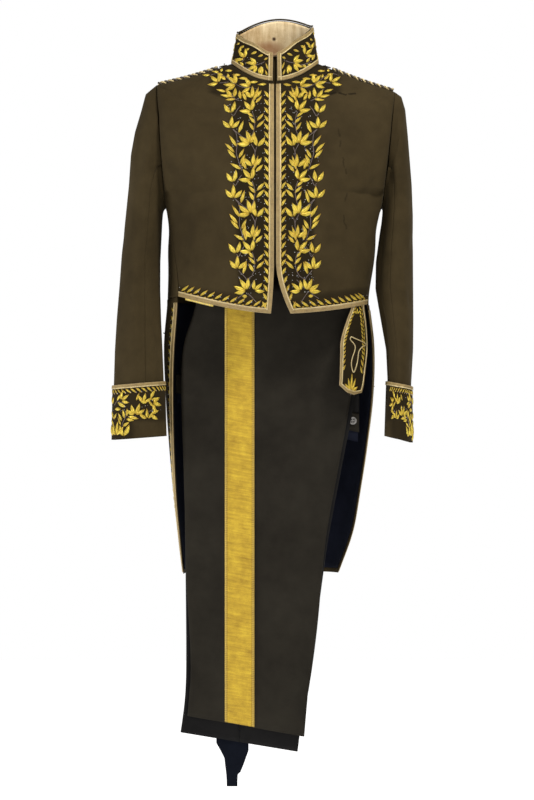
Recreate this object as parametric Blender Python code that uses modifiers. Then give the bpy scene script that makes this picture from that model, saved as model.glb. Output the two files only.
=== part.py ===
"""Full dress uniform: a hollow tailcoat with its trousers folded over and hung behind the hem.

The front of the garment faces -Y, +Z is up, and the origin lies on the shoulder line at the neck.
"right" and "left" are the wearer's own. Lengths in this file are millimetres until a mesh is made.
"""
import math

import bpy
from mathutils import Vector

MM = 0.001
UP = Vector((0, 0, 1))
SIDES = {"right": -1, "left": 1}

# Walls and gaps
SEAM = 0.3              # gap between neighbouring pieces
CLOTH = 2.0             # broadcloth wall
LINING = 1.2            # silk lining wall
BRAID = 1.6             # edge braid, thick
ROUND = 0.85            # power of the body's sections, 1 for an ellipse

# Levels of the coat
CHEST_LEVEL = -212.0    # where the armhole meets the side seams
SHIFT_START = -300.0    # the side seams bend towards the armhole above this
WAIST_SEAM = -425.0
TAIL_END = -925.0
TAIL_GAP = 0.8          # gap at the waist seam, whose two sides have different columns
FRONT_POINT = -443.0    # lowest point of each front
NECK_FRONT = -12.0
NECK_SIDE = 26.0
NECK_BACK = 50.0

# Neck and collar
NECK_WIDTH = 81.0
NECK_FORWARD = 62.0
NECK_REAR = 70.0
NECK_Y = 5.0
COLLAR_TOP = {"width": 71.0, "forward": 56.0, "rear": 66.0, "front": 40.0, "side": 88.0, "back": 113.0}
COLLAR_TILT = 6.0      # how much higher the collar top stands at the wearer's left than on the middle line
COLLAR_WALL = 3.0
COLLAR_GAP_ANGLE = 3.0

# Shoulders
SHOULDER_TIP = {"right": (219.0, -14.0), "left": (222.0, -26.0)}
SHOULDER_GAP = 0.42     # half the gap along the shoulder seam
SHOULDER_PART = 0.62    # share of the upper rows that borders the armhole
CORD_RADIUS = 2.3
SHOULDER_BUTTON_X = 115.0
SHOULDER_BUTTON = {"radius": 8.0, "height": 5.0, "shift": 0.13, "limit": 0.93, "lift": 1.6}

# Front edges
EDGE_X = {"right": 2.0, "left": 1.8}
CORNER_X = {"right": 7.5, "left": 28.5}
OPENING_START = -350.0
HEM_SIDE = {"right": -410.0, "left": -424.0}
SEAM_ANGLE_HEM = {"right": 61.0, "left": 77.0}
SEAM_ANGLE_CHEST = 74.0
BACK_SEAM_ANGLE = 120.0
BACK_SEAM_WAIST = 148.0
SEAM_TURN = (0.42, 0.80) # degrees that a side body keeps from each seam, at the waist and the armhole

# Buttons and small pieces
HIP_BUTTON = {"radius": 9.0, "height": 6.0}
HIP_BUTTON_LEVELS = (-486.0, -579.0)
HIP_BUTTON_ANGLE = 97.0
BRACE_BUTTON = {"radius": 7.0, "height": 2.6, "x": 145.0, "z": -640.0, "seat": 4.1}

# Trousers, folded over a hidden bar
FOLD_Y = -15.0
FOLD_Z = -402.0
FOLD_RADIUS = {"left": 23.0, "right": 12.7}
LEG_HALF = 5.0          # half the thickness of a flat leg
CREASE_PART = 0.3       # share of half a leg that turns round its crease
OUTER_FACE = {"left": 1, "right": -1}   # the left leg shows its outer side in front, the right its inner
OUTSEAM_X = -65.5
STRIPE_WIDTH = 55.0
STRIPE_WALL = 1.0
LINING_REACH = (-0.5, 0.2, 0.9)   # rows of the waistband lining, in shares of the waistband
WAISTBAND = 36.0
WAIST_END = (-588.0, -662.0)     # lower edge of the waistband at its right and left ends
STRAP = {"top": -1212.0, "bottom": -1319.0, "wide": 60.0, "narrow": 21.0, "x": -79.0,
         "outer_end": -1252.0, "inner_end": -1238.0, "fold": -1266.0, "notch": -1292.0}
TAIL_INNER_ANGLE = 178.0  # where the two tails nearly meet at the back


def table(columns, *rows):
    """Rows of a small table as dictionaries keyed by the column names."""
    names = columns.split()
    return [dict(zip(names, row)) for row in rows]


TORSO = table(
    "height right left front back",
    (-205, 203, 198, 124, 112),
    (-295, 202, 191, 119, 106),
    (-350, 199, 184, 114, 100),
    (-410, 200, 175, 111, 98),
    (-450, 202, 176, 111, 99),
)

TAIL = table(
    "height right left right_angle left_angle front back",
    (-425, 201, 176, 62, 78, 108, 99),
    (-500, 207, 184, 62, 80, 100, 104),
    (-590, 204, 182, 66, 84, 96, 106),
    (-680, 198, 172, 70, 88, 92, 105),
    (-780, 189, 158, 75, 94, 88, 101),
    (-850, 180, 147, 80, 100, 84, 97),
    (-925, 171, 124, 88, 108, 80, 92),
)

SLEEVE = {
    "right": table(
        "outer_x outer_z inner_x inner_z depth y",
        (220.5, -14, 204.0, -245, 62, 2),
        (241.0, -31, 205.5, -246, 66, 2),
        (250.0, -65, 207.0, -248, 69, 1),
        (261.0, -102, 208.0, -251, 70, 0),
        (268.6, -144, 209.0, -256, 70, 0),
        (272.3, -201, 210.0, -268, 70, -1),
        (278.0, -257, 211.0, -290, 69, -2),
        (285.6, -333, 213.5, -345, 62, -6),
        (289.3, -389, 213.5, -397, 58, -12),
        (294.0, -451, 211.5, -455, 52, -22),
        (297.0, -510, 208.5, -508, 48, -34),
        (298.5, -572, 206.0, -564, 44, -42),
        (300.0, -675, 203.0, -668, 42, -48),
    ),
    "left": table(
        "outer_x outer_z inner_x inner_z depth y",
        (223.5, -27, 199.0, -245, 62, 2),
        (236.0, -36, 200.0, -246, 66, 2),
        (243.0, -60, 200.5, -248, 69, 1),
        (247.5, -106, 200.5, -252, 70, 0),
        (251.0, -150, 200.0, -258, 71, 0),
        (255.0, -201, 198.5, -272, 71, -1),
        (257.0, -257, 195.5, -290, 71, -3),
        (257.0, -333, 188.0, -345, 68, -8),
        (257.0, -389, 187.0, -395, 66, -16),
        (257.0, -451, 197.0, -455, 64, -26),
        (256.0, -510, 206.0, -508, 62, -36),
        (252.0, -574, 208.5, -564, 60, -42),
        (252.5, -680, 205.0, -668, 58, -46),
    ),
}
SLEEVE_SEAM = 108.0     # degrees from the outer edge to each sleeve seam
CUFF_START = 11         # sleeve row where the cuff begins

NEAR_LEG = table(
    "height right_edge left_edge",
    (-402, -142, 166.4),
    (-424, -147, 166.4),
    (-445, -152, 161),
    (-500, -168, 154),
    (-590, -172, 141),
    (-720, -168, 118),
    (-853, -165, 96),
    (-925, -164, 88),
    (-1005, -159, 80),
    (-1095, -155, 68),
    (-1150, -158, 60),
    (-1225, -165, 54),
)

FAR_LEG = table(
    "height right_edge left_edge",
    (-402, -142, 166.4),
    (-445, -152, 162),
    (-500, -166, 158),
    (-590, -170, 149),
    (-720, -168, 124),
    (-853, -167, 99),
    (-925, -166, 89),
    (-1095, -165, 66),
    (-1160, -168, 54),
    (-1255, -181, 42),
)

SEAT = table(
    "height right_edge left_edge",
    (-700, -186, 158),
    (-590, -182, 157),
    (-500, -170, 157),
    (-402, -142, 166.4),
)

LEG = {"left": NEAR_LEG, "right": FAR_LEG}
LEG_HEM = {"left": (-1186.0, -1225.0), "right": (-1217.0, -1254.0)}   # at its right and left ends

FROG = table(
    "height near far",
    (-414, 143, 163),
    (-430, 141, 163),
    (-457, 131, 166),
    (-492, 121, 168),
    (-517, 120, 168),
    (-548, 119, 164),
    (-562, 118, 164),
)
FROG_FOOT = (-574.0, -593.0, -588.0)   # lower edge at its near side, its point and its far side
FROG_SLOT = table(
    "across height",
    (0.25, -486), (0.62, -500), (0.50, -512), (0.46, -540),
    (0.36, -552), (0.26, -540), (0.32, -512), (0.22, -497),
)


def read(rows, column, height):
    """Smooth value of a column at a height, with even slopes through the table's rows."""
    rows = sorted(rows, key=lambda row: row["height"])
    height = min(max(height, rows[0]["height"]), rows[-1]["height"])
    spot = 0
    while spot < len(rows) - 2 and height > rows[spot + 1]["height"]:
        spot += 1
    low, high = rows[spot], rows[spot + 1]

    def slope(index):
        before, after = rows[max(index - 1, 0)], rows[min(index + 1, len(rows) - 1)]
        return (after[column] - before[column]) / (after["height"] - before["height"])

    span = high["height"] - low["height"]
    t = (height - low["height"]) / span
    start, end = slope(spot) * span, slope(spot + 1) * span
    return ((2 * t**3 - 3 * t**2 + 1) * low[column] + (t**3 - 2 * t**2 + t) * start
            + (3 * t**2 - 2 * t**3) * high[column] + (t**3 - t**2) * end)


def mix(a, b, t):
    return a + (b - a) * t


def smooth(t):
    t = min(max(t, 0.0), 1.0)
    return t * t * (3 - 2 * t)


def power(value, exponent):
    return math.copysign(abs(value) ** exponent, value)


# The coat's body


def torso(side, angle, height):
    """Outer point of the body below the armholes, the angle running from the front to the back."""
    turn = math.radians(angle)
    depth = read(TORSO, "front" if angle < 90 else "back", height)
    return Vector((SIDES[side] * read(TORSO, side, height) * power(math.sin(turn), ROUND),
                   -depth * power(math.cos(turn), ROUND), height))


def armhole(side, angle):
    """Point of the armhole ring: -90 at the armpit, 90 at the tip, the front at 0."""
    ring = SLEEVE[side][0]
    turn = math.radians(angle)
    middle_x, middle_z = (ring["outer_x"] + ring["inner_x"]) / 2, (ring["outer_z"] + ring["inner_z"]) / 2
    half_x, half_z = (ring["outer_x"] - ring["inner_x"]) / 2, (ring["outer_z"] - ring["inner_z"]) / 2
    return Vector((SIDES[side] * (middle_x + half_x * math.sin(turn) - 2 * SEAM),
                   ring["y"] - ring["depth"] * math.cos(turn), middle_z + half_z * math.sin(turn)))


ARMHOLE_LOW = {"front": -46.0, "back": 226.0}   # where the side seams meet the armhole
BACK_KEEP = 1.9         # a wider share at the back seam, which bends more
ARMHOLE_TURN = 1.6      # degrees that a side body keeps from those corners


def edge_x(side, height):
    """Distance of a front's edge from the middle plane."""
    run = max(0.0, (OPENING_START - height) / (OPENING_START - FRONT_POINT))
    return mix(EDGE_X[side], CORNER_X[side], min(run, 1.0) ** 1.7)


def neck(side, angle, lift=0.0):
    """Point of the neckline; lift runs from 0 at the seam to 1 at the collar's top edge."""
    turn = math.radians(angle)
    front = angle < 90
    depth = mix(NECK_FORWARD if front else NECK_REAR,
                COLLAR_TOP["forward"] if front else COLLAR_TOP["rear"], lift)
    base_end, top_end = (NECK_FRONT, COLLAR_TOP["front"]) if front else (NECK_BACK, COLLAR_TOP["back"])
    lean = math.cos(turn) ** 2
    return Vector((SIDES[side] * mix(NECK_WIDTH, COLLAR_TOP["width"], lift) * math.sin(turn),
                   NECK_Y - depth * math.cos(turn),
                   mix(mix(NECK_SIDE, base_end, lean), mix(COLLAR_TOP["side"], top_end, lean), lift)))


def shoulder(side, share):
    """Point of the shoulder seam, from the tip at 0 to the neck at 1."""
    tip_x, tip_z = SHOULDER_TIP[side]
    tip = Vector((SIDES[side] * tip_x, SLEEVE[side][0]["y"], tip_z))
    point = tip.lerp(neck(side, 90), share)
    point.z -= 3 * math.sin(math.pi * share)
    return point


def upper(side, part, share, across):
    """Point above the armpit of the front or the back, from the middle (across 0) to the armhole."""
    front = part == "front"
    level = read(TORSO, part, CHEST_LEVEL)
    if front:
        start = Vector((SIDES[side] * EDGE_X[side],
                        mix(-level, NECK_Y - NECK_FORWARD, share**1.6),
                        mix(CHEST_LEVEL, NECK_FRONT, share)))
    else:
        start = Vector((SIDES[side] * SEAM, mix(level, NECK_Y + NECK_REAR, share**2.0),
                        mix(CHEST_LEVEL, NECK_BACK, share)))
    if share < SHOULDER_PART:
        top = 90.0
        low = ARMHOLE_LOW[part]
        end = armhole(side, mix(low, top, (share / SHOULDER_PART)))
    else:
        end = shoulder(side, (share - SHOULDER_PART) / (1 - SHOULDER_PART))
    end.y += -SHOULDER_GAP if front else SHOULDER_GAP
    turn = math.radians(90 * across)
    return Vector((mix(start.x, end.x, math.sin(turn)), mix(end.y, start.y, math.cos(turn)),
                   mix(end.z, start.z, math.cos(turn) ** 2)))


def seam_shift(side, part, height):
    """Move that brings a side seam to the armhole's low corner near the chest level."""
    seam_angle = SEAM_ANGLE_CHEST if part == "front" else BACK_SEAM_ANGLE
    shift = armhole(side, ARMHOLE_LOW[part]) - torso(side, seam_angle, CHEST_LEVEL)
    return shift * smooth((height - SHIFT_START) / (CHEST_LEVEL - SHIFT_START))


def lower(side, part, height, angle, reach):
    """Point below the armpit, its side seam led into the armhole's low corner."""
    return torso(side, angle, height) + seam_shift(side, part, height) * reach**3


LOWER_SHARE = 0.5


def front_seam(side, height):
    """Angle of the seam between the front and the side body."""
    share = smooth((height - WAIST_SEAM) / (CHEST_LEVEL - WAIST_SEAM))
    return mix(SEAM_ANGLE_HEM[side], SEAM_ANGLE_CHEST, share)


def back_seam(height):
    """Angle of the seam between the side body and the back, drawn in at the waist."""
    share = smooth((height - WAIST_SEAM) / (CHEST_LEVEL - WAIST_SEAM))
    return mix(BACK_SEAM_WAIST, BACK_SEAM_ANGLE, share)


def front_point(side, u, v):
    """Front panel, u from its edge to the side seam, v from the hem to the shoulder."""
    if v >= LOWER_SHARE:
        return upper(side, "front", (v - LOWER_SHARE) / (1 - LOWER_SHARE), u)
    share = v / LOWER_SHARE
    hem = mix(FRONT_POINT, HEM_SIDE[side], smooth(u) * 0.4 + u * 0.6)
    height = mix(hem, CHEST_LEVEL, share)
    start = math.degrees(math.asin((edge_x(side, height) / read(TORSO, side, height)) ** (1 / ROUND)))
    return lower(side, "front", height, mix(start, front_seam(side, height), u), u)


def back_point(side, u, v):
    """Back panel, u from the middle seam to the side seam, v from the waist to the shoulder."""
    if v >= LOWER_SHARE:
        return upper(side, "back", (v - LOWER_SHARE) / (1 - LOWER_SHARE), u)
    height = mix(WAIST_SEAM, CHEST_LEVEL, v / LOWER_SHARE)
    return lower(side, "back", height, mix(179.9, back_seam(height), u), u)


def side_point(side, u, v):
    """Side body under the armhole, u from the front seam to the back seam."""
    top = armhole(side, mix(ARMHOLE_LOW["front"] - ARMHOLE_TURN,
                            ARMHOLE_LOW["back"] - 360 + BACK_KEEP * ARMHOLE_TURN, u))
    corner = mix(armhole(side, ARMHOLE_LOW["front"]).z, armhole(side, ARMHOLE_LOW["back"]).z, u)

    def plain(height):
        keep = mix(*SEAM_TURN, smooth((height - SHIFT_START) / (CHEST_LEVEL - SHIFT_START)))
        angle = mix(front_seam(side, height) + keep, back_seam(height) - BACK_KEEP * keep, u)
        return torso(side, angle, height) + seam_shift(side, "front", height).lerp(
            seam_shift(side, "back", height), u)

    top_height = CHEST_LEVEL + top.z - corner
    bend = smooth((v - 0.4) / 0.6)
    return plain(mix(mix(HEM_SIDE[side], WAIST_SEAM, u), top_height, v)) + (
        top - plain(top_height) - UP * SEAM) * bend


def tail_point(side, u, v):
    """Tail, u from its front edge to the vent, v from the waist seam to the lower edge."""
    start = read(TAIL, side + "_angle", mix(WAIST_SEAM, TAIL_END, v))
    angle = mix(start, mix(179.6, 172, v), u)
    share = min((angle - start) / (BACK_SEAM_WAIST - start), 1.0)
    height = mix(mix(HEM_SIDE[side], WAIST_SEAM, share) - TAIL_GAP, TAIL_END, v)
    turn = math.radians(angle)
    depth = read(TAIL, "front" if angle < 90 else "back", height)
    return Vector((SIDES[side] * read(TAIL, side, height) * power(math.sin(turn), ROUND),
                   -depth * power(math.cos(turn), ROUND), height))


# Collar, sleeves and cuffs


def collar_point(u, v):
    """Collar, u right round from the right front edge to the left one, v from the seam to the top."""
    around = mix(-180 + COLLAR_GAP_ANGLE, 180 - COLLAR_GAP_ANGLE, u)
    side = "right" if around < 0 else "left"
    point = neck(side, 180 - abs(around), v)
    point.z += 1.5 * SEAM + COLLAR_TILT * v * point.x / COLLAR_TOP["width"]
    return point


def sleeve_ring(side, row, angle, out=0.0):
    """Point of a sleeve row; the angle is 0 at the outer edge and grows towards the front."""
    turn = math.radians(angle)
    outer = Vector((SIDES[side] * row["outer_x"], row["y"], row["outer_z"]))
    inner = Vector((SIDES[side] * row["inner_x"], row["y"], row["inner_z"]))
    along = (outer - inner) / 2
    point = (outer + inner) / 2 + along * math.cos(turn)
    point.y -= row["depth"] * math.sin(turn)
    if out:
        point += (along.normalized() * math.cos(turn) + Vector((0, -math.sin(turn), 0))) * out
    return point


def sleeve_row(side, v):
    """Sleeve measures at a share of its length, blended between the table's rows."""
    rows = SLEEVE[side]
    place = v * (len(rows) - 1)
    spot = min(int(place), len(rows) - 2)
    return {name: mix(rows[spot][name], rows[spot + 1][name], place - spot) for name in rows[0]}


def sleeve_point(side, u, v, out=0.0):
    return sleeve_ring(side, sleeve_row(side, v), mix(0, 360, u), out)


# Trousers


def slanted(ends, rows, x):
    """Height of a slanted edge at x, from its two ends at the first row's edges."""
    share = (x - rows["right_edge"]) / (rows["left_edge"] - rows["right_edge"])
    return mix(ends[0], ends[1], share)


def leg_row(side, path, x):
    """Place on a leg's bent path: 0 to 1 up the front, 1 to 2 over the bar, 2 to 3 down behind."""
    radius = FOLD_RADIUS[side]
    hem = slanted(LEG_HEM[side], LEG[side][-1], x)
    waist = slanted(WAIST_END, SEAT[0], x) + WAISTBAND + SEAM
    if path <= 1:
        centre = Vector((0, FOLD_Y - radius, mix(hem, FOLD_Z, path)))
        normal = Vector((0, -1, 0))
    elif path <= 2:
        turn = math.radians(180 * (path - 1))
        normal = Vector((0, -math.cos(turn), math.sin(turn)))
        centre = Vector((0, FOLD_Y, FOLD_Z)) + normal * radius
    else:
        centre = Vector((0, FOLD_Y + radius, mix(FOLD_Z, waist, path - 2)))
        normal = Vector((0, 1, 0))
    return centre, normal


def leg_point(side, part, tau, path, out=0.0):
    """Half of a flat leg: tau from -1 at the outer seam, by the crease at 0, to 1 at the inner seam."""
    rows = LEG[side] if path <= 1 else SEAT
    crease_column = "right_edge" if part == "front" else "left_edge"
    inward = 1 if part == "front" else -1
    level = leg_row(side, path, rows[-1 if path <= 1 else 0][crease_column])[0].z
    crease = read(rows, crease_column, level)
    half = LEG_HALF + out
    if abs(tau) < CREASE_PART:
        turn = math.radians(90 * abs(tau) / CREASE_PART)
        x = crease + inward * (LEG_HALF - half * math.cos(turn))
        offset = half * math.sin(turn)
    else:
        share = (abs(tau) - CREASE_PART) / (1 - CREASE_PART)
        x = mix(crease + inward * LEG_HALF, OUTSEAM_X - inward * SEAM * 0.6, share)
        offset = half
    centre, normal = leg_row(side, path, x)
    point = centre - normal * offset * OUTER_FACE[side] * math.copysign(1, tau)
    point.x = x
    return point


def waistband_point(side, u, v, out=0.0):
    """Flat band below the seat's lower end, u right round, v from its lower edge to its seam."""
    turn = 2 * math.pi * u
    middle = (SEAT[0]["right_edge"] + SEAT[0]["left_edge"]) / 2
    half_width = (SEAT[0]["left_edge"] - SEAT[0]["right_edge"]) / 2 - LEG_HALF - 1
    x = middle + half_width * power(math.cos(turn), 0.6) + (LEG_HALF + out) * math.cos(turn)
    return Vector((x, FOLD_Y + FOLD_RADIUS[side] + (LEG_HALF + out) * power(math.sin(turn), 0.5),
                   slanted(WAIST_END, SEAT[0], x) + WAISTBAND * v))


def frog_point(u, v):
    """Sword frog, u from its near to its far edge, v from its top down."""
    height = mix(FROG[0]["height"], FROG[-1]["height"], v)
    x = mix(read(FROG, "near", height), read(FROG, "far", height), u)
    left, point, right = FROG_FOOT
    foot = mix(left, point, u / 0.5) if u < 0.5 else mix(point, right, (u - 0.5) / 0.5)
    low = height + (foot - FROG[-1]["height"]) * smooth((v - 0.7) / 0.3)
    reach, depth = 172.5, 108.5
    y = -depth * (1 - (x / reach) ** (2 / ROUND)) ** (ROUND / 2)
    return Vector((x, y, low))


# Mesh building


def clear_scene():
    for old in list(bpy.data.objects):
        bpy.data.objects.remove(old, do_unlink=True)


def finish(name, color, roughness=0.85, metallic=0.0):
    material = bpy.data.materials.new(name)
    material.use_nodes = True
    shader = material.node_tree.nodes["Principled BSDF"]
    shader.inputs["Base Color"].default_value = (*color, 1.0)
    shader.inputs["Roughness"].default_value = roughness
    shader.inputs["Metallic"].default_value = metallic
    return material


def new_collection(name):
    group = bpy.data.collections.new(name)
    bpy.context.scene.collection.children.link(group)
    return group


def put(name, data, color, roughness=0.85, metallic=0.0):
    piece = bpy.data.objects.new(name, data)
    piece.data.materials.append(finish(name, color, roughness, metallic))
    bpy.data.collections["uniform"].objects.link(piece)
    return piece


def steps(count, start=0.0, end=1.0):
    return [mix(start, end, number / count) for number in range(count + 1)]


class Surface:
    """A piece's point function, with the line that its outside looks away from."""

    def __init__(self, function, centre=None, round_u=False):
        self.function = function
        self.centre = centre or (lambda point: Vector((0, 0, point.z)))
        self.round_u = round_u

    def __call__(self, u, v):
        return self.function(u, v)

    def lifted(self, u, v, out):
        """Point moved out along the surface's own normal, or in where out is negative."""
        small = 0.004
        u0, u1 = (u - small, u + small) if self.round_u else (max(u - small, 0.0), min(u + small, 1.0))
        v0, v1 = max(v - small, 0.0), min(v + small, 1.0)
        point = self(u, v)
        normal = (self(u1, v) - self(u0, v)).cross(self(u, v1) - self(u, v0)).normalized()
        outside = normal.dot(point - self.centre(point)) > 0
        return point + normal * (out if outside else -out)


def wall(name, outer, inner, color, closed=False, **looks):
    """Closed wall between two matching sets of rows, its rim joined all round.

    The inner points lie along the surface's own normals, so that neighbouring walls keep their seam.
    """
    wide, tall = len(outer[0]), len(outer)
    points = [point * MM for rows in (outer, inner) for row in rows for point in row]
    back = wide * tall
    columns = wide if closed else wide - 1
    skin, faces = [], []
    for low in range(tall - 1):
        for step in range(columns):
            right = (step + 1) % wide
            a, b = low * wide + step, low * wide + right
            skin.append((a, b, b + wide, a + wide))
    facing = 0.0
    for a, b, c, d in skin:
        faces += [(a, b, c, d), (back + d, back + c, back + b, back + a)]
        facing += (points[c] - points[a]).cross(points[d] - points[b]).dot(points[a] - points[back + a])
    top = (tall - 1) * wide
    for step in range(columns):
        right = (step + 1) % wide
        faces.append((right, step, back + step, back + right))
        faces.append((top + step, top + right, back + top + right, back + top + step))
    for low in range(0 if closed else tall - 1):
        a, d = low * wide, (low + 1) * wide
        faces.append((a, d, back + d, back + a))
        a, d = a + wide - 1, d + wide - 1
        faces.append((d, a, back + a, back + d))
    if facing < 0:
        faces = [face[::-1] for face in faces]
    mesh = bpy.data.meshes.new(name)
    mesh.from_pydata([tuple(point) for point in points], [], faces)
    mesh.shade_smooth()
    mesh.set_sharp_from_angle(angle=math.radians(40))
    return put(name, mesh, color, **looks)


def cloth(name, surface, across, along, thickness, color, closed=False, out=0.0, **looks):
    """Wall over a surface; out moves its outer face, and a lining's is moved in."""
    columns = across[:-1] if closed else across
    outer = [[surface.lifted(u, v, out) for u in columns] for v in along]
    inner = [[surface.lifted(u, v, out - thickness) for u in columns] for v in along]
    return wall(name, outer, inner, color, closed, **looks)


def braid(name, surface, path, color, out=SEAM):
    """Flat braid on a surface; each step of the path gives its edge place and its inner place."""
    outer = [[surface.lifted(*place, out + BRAID) for place in pair] for pair in path]
    inner = [[surface.lifted(*place, out) for place in pair] for pair in path]
    return wall(name, outer, inner, color)


def cord(name, points, radius, color):
    data = bpy.data.curves.new(name, "CURVE")
    data.dimensions = "3D"
    data.bevel_depth = radius * MM
    data.bevel_resolution = 2
    data.use_fill_caps = True
    spline = data.splines.new("POLY")
    spline.points.add(len(points) - 1)
    for spot, point in zip(spline.points, points):
        spot.co = (*(point * MM), 1.0)
    return put(name, data, color)


def button(name, place, facing, radius, height, color, sides=12, **looks):
    """Domed button turned from a half profile, its flat back on the given place."""
    profile = [(0.0, height), (0.55 * radius, 0.88 * height), (0.9 * radius, 0.5 * height),
               (radius, 0.22 * height), (0.94 * radius, 0.0), (0.0, 0.0)]
    mesh = bpy.data.meshes.new(name)
    mesh.from_pydata([(x * MM, 0, z * MM) for x, z in profile],
                     [(i, i + 1) for i in range(len(profile) - 1)], [])
    piece = put(name, mesh, color, **looks)
    turn = piece.modifiers.new("turn", "SCREW")
    turn.steps = sides
    turn.render_steps = sides
    turn.use_merge_vertices = True
    turn.merge_threshold = 0.00001
    piece.location = place * MM
    piece.rotation_euler = facing.to_track_quat("Z", "Y").to_euler()
    return piece


# The pieces

GREEN = (0.045, 0.036, 0.020)
DARK_GREEN = (0.032, 0.028, 0.021)
NAVY = (0.010, 0.012, 0.022)
CREAM = (0.70, 0.60, 0.42)
GOLD = (0.62, 0.43, 0.10)
PALE_GOLD = (0.55, 0.44, 0.28)


# Places of the points along each surface; a braid's inner edge has its own column or row
FRONT_COLUMNS = [0.0, 0.05] + steps(10)[1:]
LOWER_ROWS = steps(6, 0.0, LOWER_SHARE)
UPPER_ROWS = steps(9, LOWER_SHARE + 0.055, 1.0)
FRONT_ROWS = [0.0, 0.045] + LOWER_ROWS[1:] + UPPER_ROWS
TAIL_COLUMNS = [0.0, 0.045] + steps(9)[1:]
TAIL_ROWS = steps(10)
COLLAR_COLUMNS = [0.0, 0.016] + steps(28)[1:-1] + [0.984, 1.0]
COLLAR_ROWS = [0.0, 0.16, 0.5, 0.86, 1.0]


def make_coat_body():
    for side in SIDES:
        front = Surface(lambda u, v, s=side: front_point(s, u, v))
        back = Surface(lambda u, v, s=side: back_point(s, u, v))
        flank = Surface(lambda u, v, s=side: side_point(s, u, v))
        cloth("front_" + side, front, FRONT_COLUMNS, FRONT_ROWS, CLOTH, GREEN)
        cloth("back_" + side, back, steps(9), LOWER_ROWS + UPPER_ROWS, CLOTH, GREEN)
        cloth("side_body_" + side, flank, steps(6), steps(6), CLOTH, GREEN)
        edge, low = FRONT_COLUMNS[1], FRONT_ROWS[1]
        down = [((0.0, v), (edge, v)) for v in [0.985] + FRONT_ROWS[-2:1:-1]]
        along = [((u, 0.0), (u, low)) for u in FRONT_COLUMNS[1:]]
        braid("front_braid_" + side, front, down + [((0.0, 0.0), (edge, low))] + along, PALE_GOLD,
              out=2.5 * SEAM)


def make_tails():
    for side in SIDES:
        tail = Surface(lambda u, v, s=side: tail_point(s, u, v))
        cloth("tail_" + side, tail, TAIL_COLUMNS, TAIL_ROWS, CLOTH, GREEN)
        cloth("tail_lining_" + side, tail, TAIL_COLUMNS[1:-1] + [0.98],
              [0.005] + TAIL_ROWS[1:-1] + [0.985], LINING, NAVY, out=-(CLOTH + 3 * SEAM))
        braid("tail_braid_" + side, tail,
              [((0.0, v), (TAIL_COLUMNS[1], v)) for v in [0.02] + TAIL_ROWS[1:]], PALE_GOLD, out=2 * SEAM)
        for number, level in enumerate(HIP_BUTTON_LEVELS, 1):
            start = read(TAIL, side + "_angle", level)
            u = (HIP_BUTTON_ANGLE - start) / (TAIL_INNER_ANGLE - start)
            v = (WAIST_SEAM - level) / (WAIST_SEAM - TAIL_END)
            u = min(TAIL_COLUMNS, key=lambda column, near=u: abs(column - near))
            place = tail.lifted(u, v, SEAM)
            button(f"hip_button_{side}_{number}", place, place - tail(u, v),
                   HIP_BUTTON["radius"], HIP_BUTTON["height"], GOLD, metallic=0.9, roughness=0.35)


def make_collar():
    shape = Surface(collar_point, lambda point: Vector((0, NECK_Y, point.z)))
    cloth("collar", shape, COLLAR_COLUMNS, COLLAR_ROWS, COLLAR_WALL, GREEN)
    cloth("collar_lining", shape, COLLAR_COLUMNS[1:-1], [0.03] + COLLAR_ROWS[1:-1] + [0.985],
          LINING, CREAM, out=-(COLLAR_WALL + 2 * SEAM))
    side, low, high = COLLAR_COLUMNS[1], COLLAR_ROWS[1], COLLAR_ROWS[-2]
    up = [((0.0, v), (side, v)) for v in COLLAR_ROWS[:-2]]
    over = [((u, 1.0), (u, high)) for u in COLLAR_COLUMNS[2:-2]]
    down = [((1.0, v), (1 - side, v)) for v in reversed(COLLAR_ROWS[:-2])]
    corners = [((0.0, 1.0), (side, high))], [((1.0, 1.0), (1 - side, high))]
    braid("collar_braid", shape, up + corners[0] + over + corners[1] + down, PALE_GOLD)
    braid("collar_base_braid", shape, [((u, 0.0), (u, low)) for u in COLLAR_COLUMNS[2:-2]], PALE_GOLD)


def make_shoulders():
    for side, sign in SIDES.items():
        points = [shoulder(side, share) + UP * (CORD_RADIUS + 0.7) for share in steps(14, 0.02, 0.80)]
        cord("shoulder_cord_" + side, points, CORD_RADIUS, PALE_GOLD)
        tip = shoulder(side, 0.0)
        share = (abs(tip.x) - SHOULDER_BUTTON_X) / (abs(tip.x) - NECK_WIDTH)
        place = shoulder(side, min(share + SHOULDER_BUTTON["shift"], SHOULDER_BUTTON["limit"]))
        place += UP * SHOULDER_BUTTON["lift"]
        button("shoulder_button_" + side, place, Vector((sign * 0.25, 0, 1)),
               SHOULDER_BUTTON["radius"], SHOULDER_BUTTON["height"], GOLD, metallic=0.9, roughness=0.35)


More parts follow.
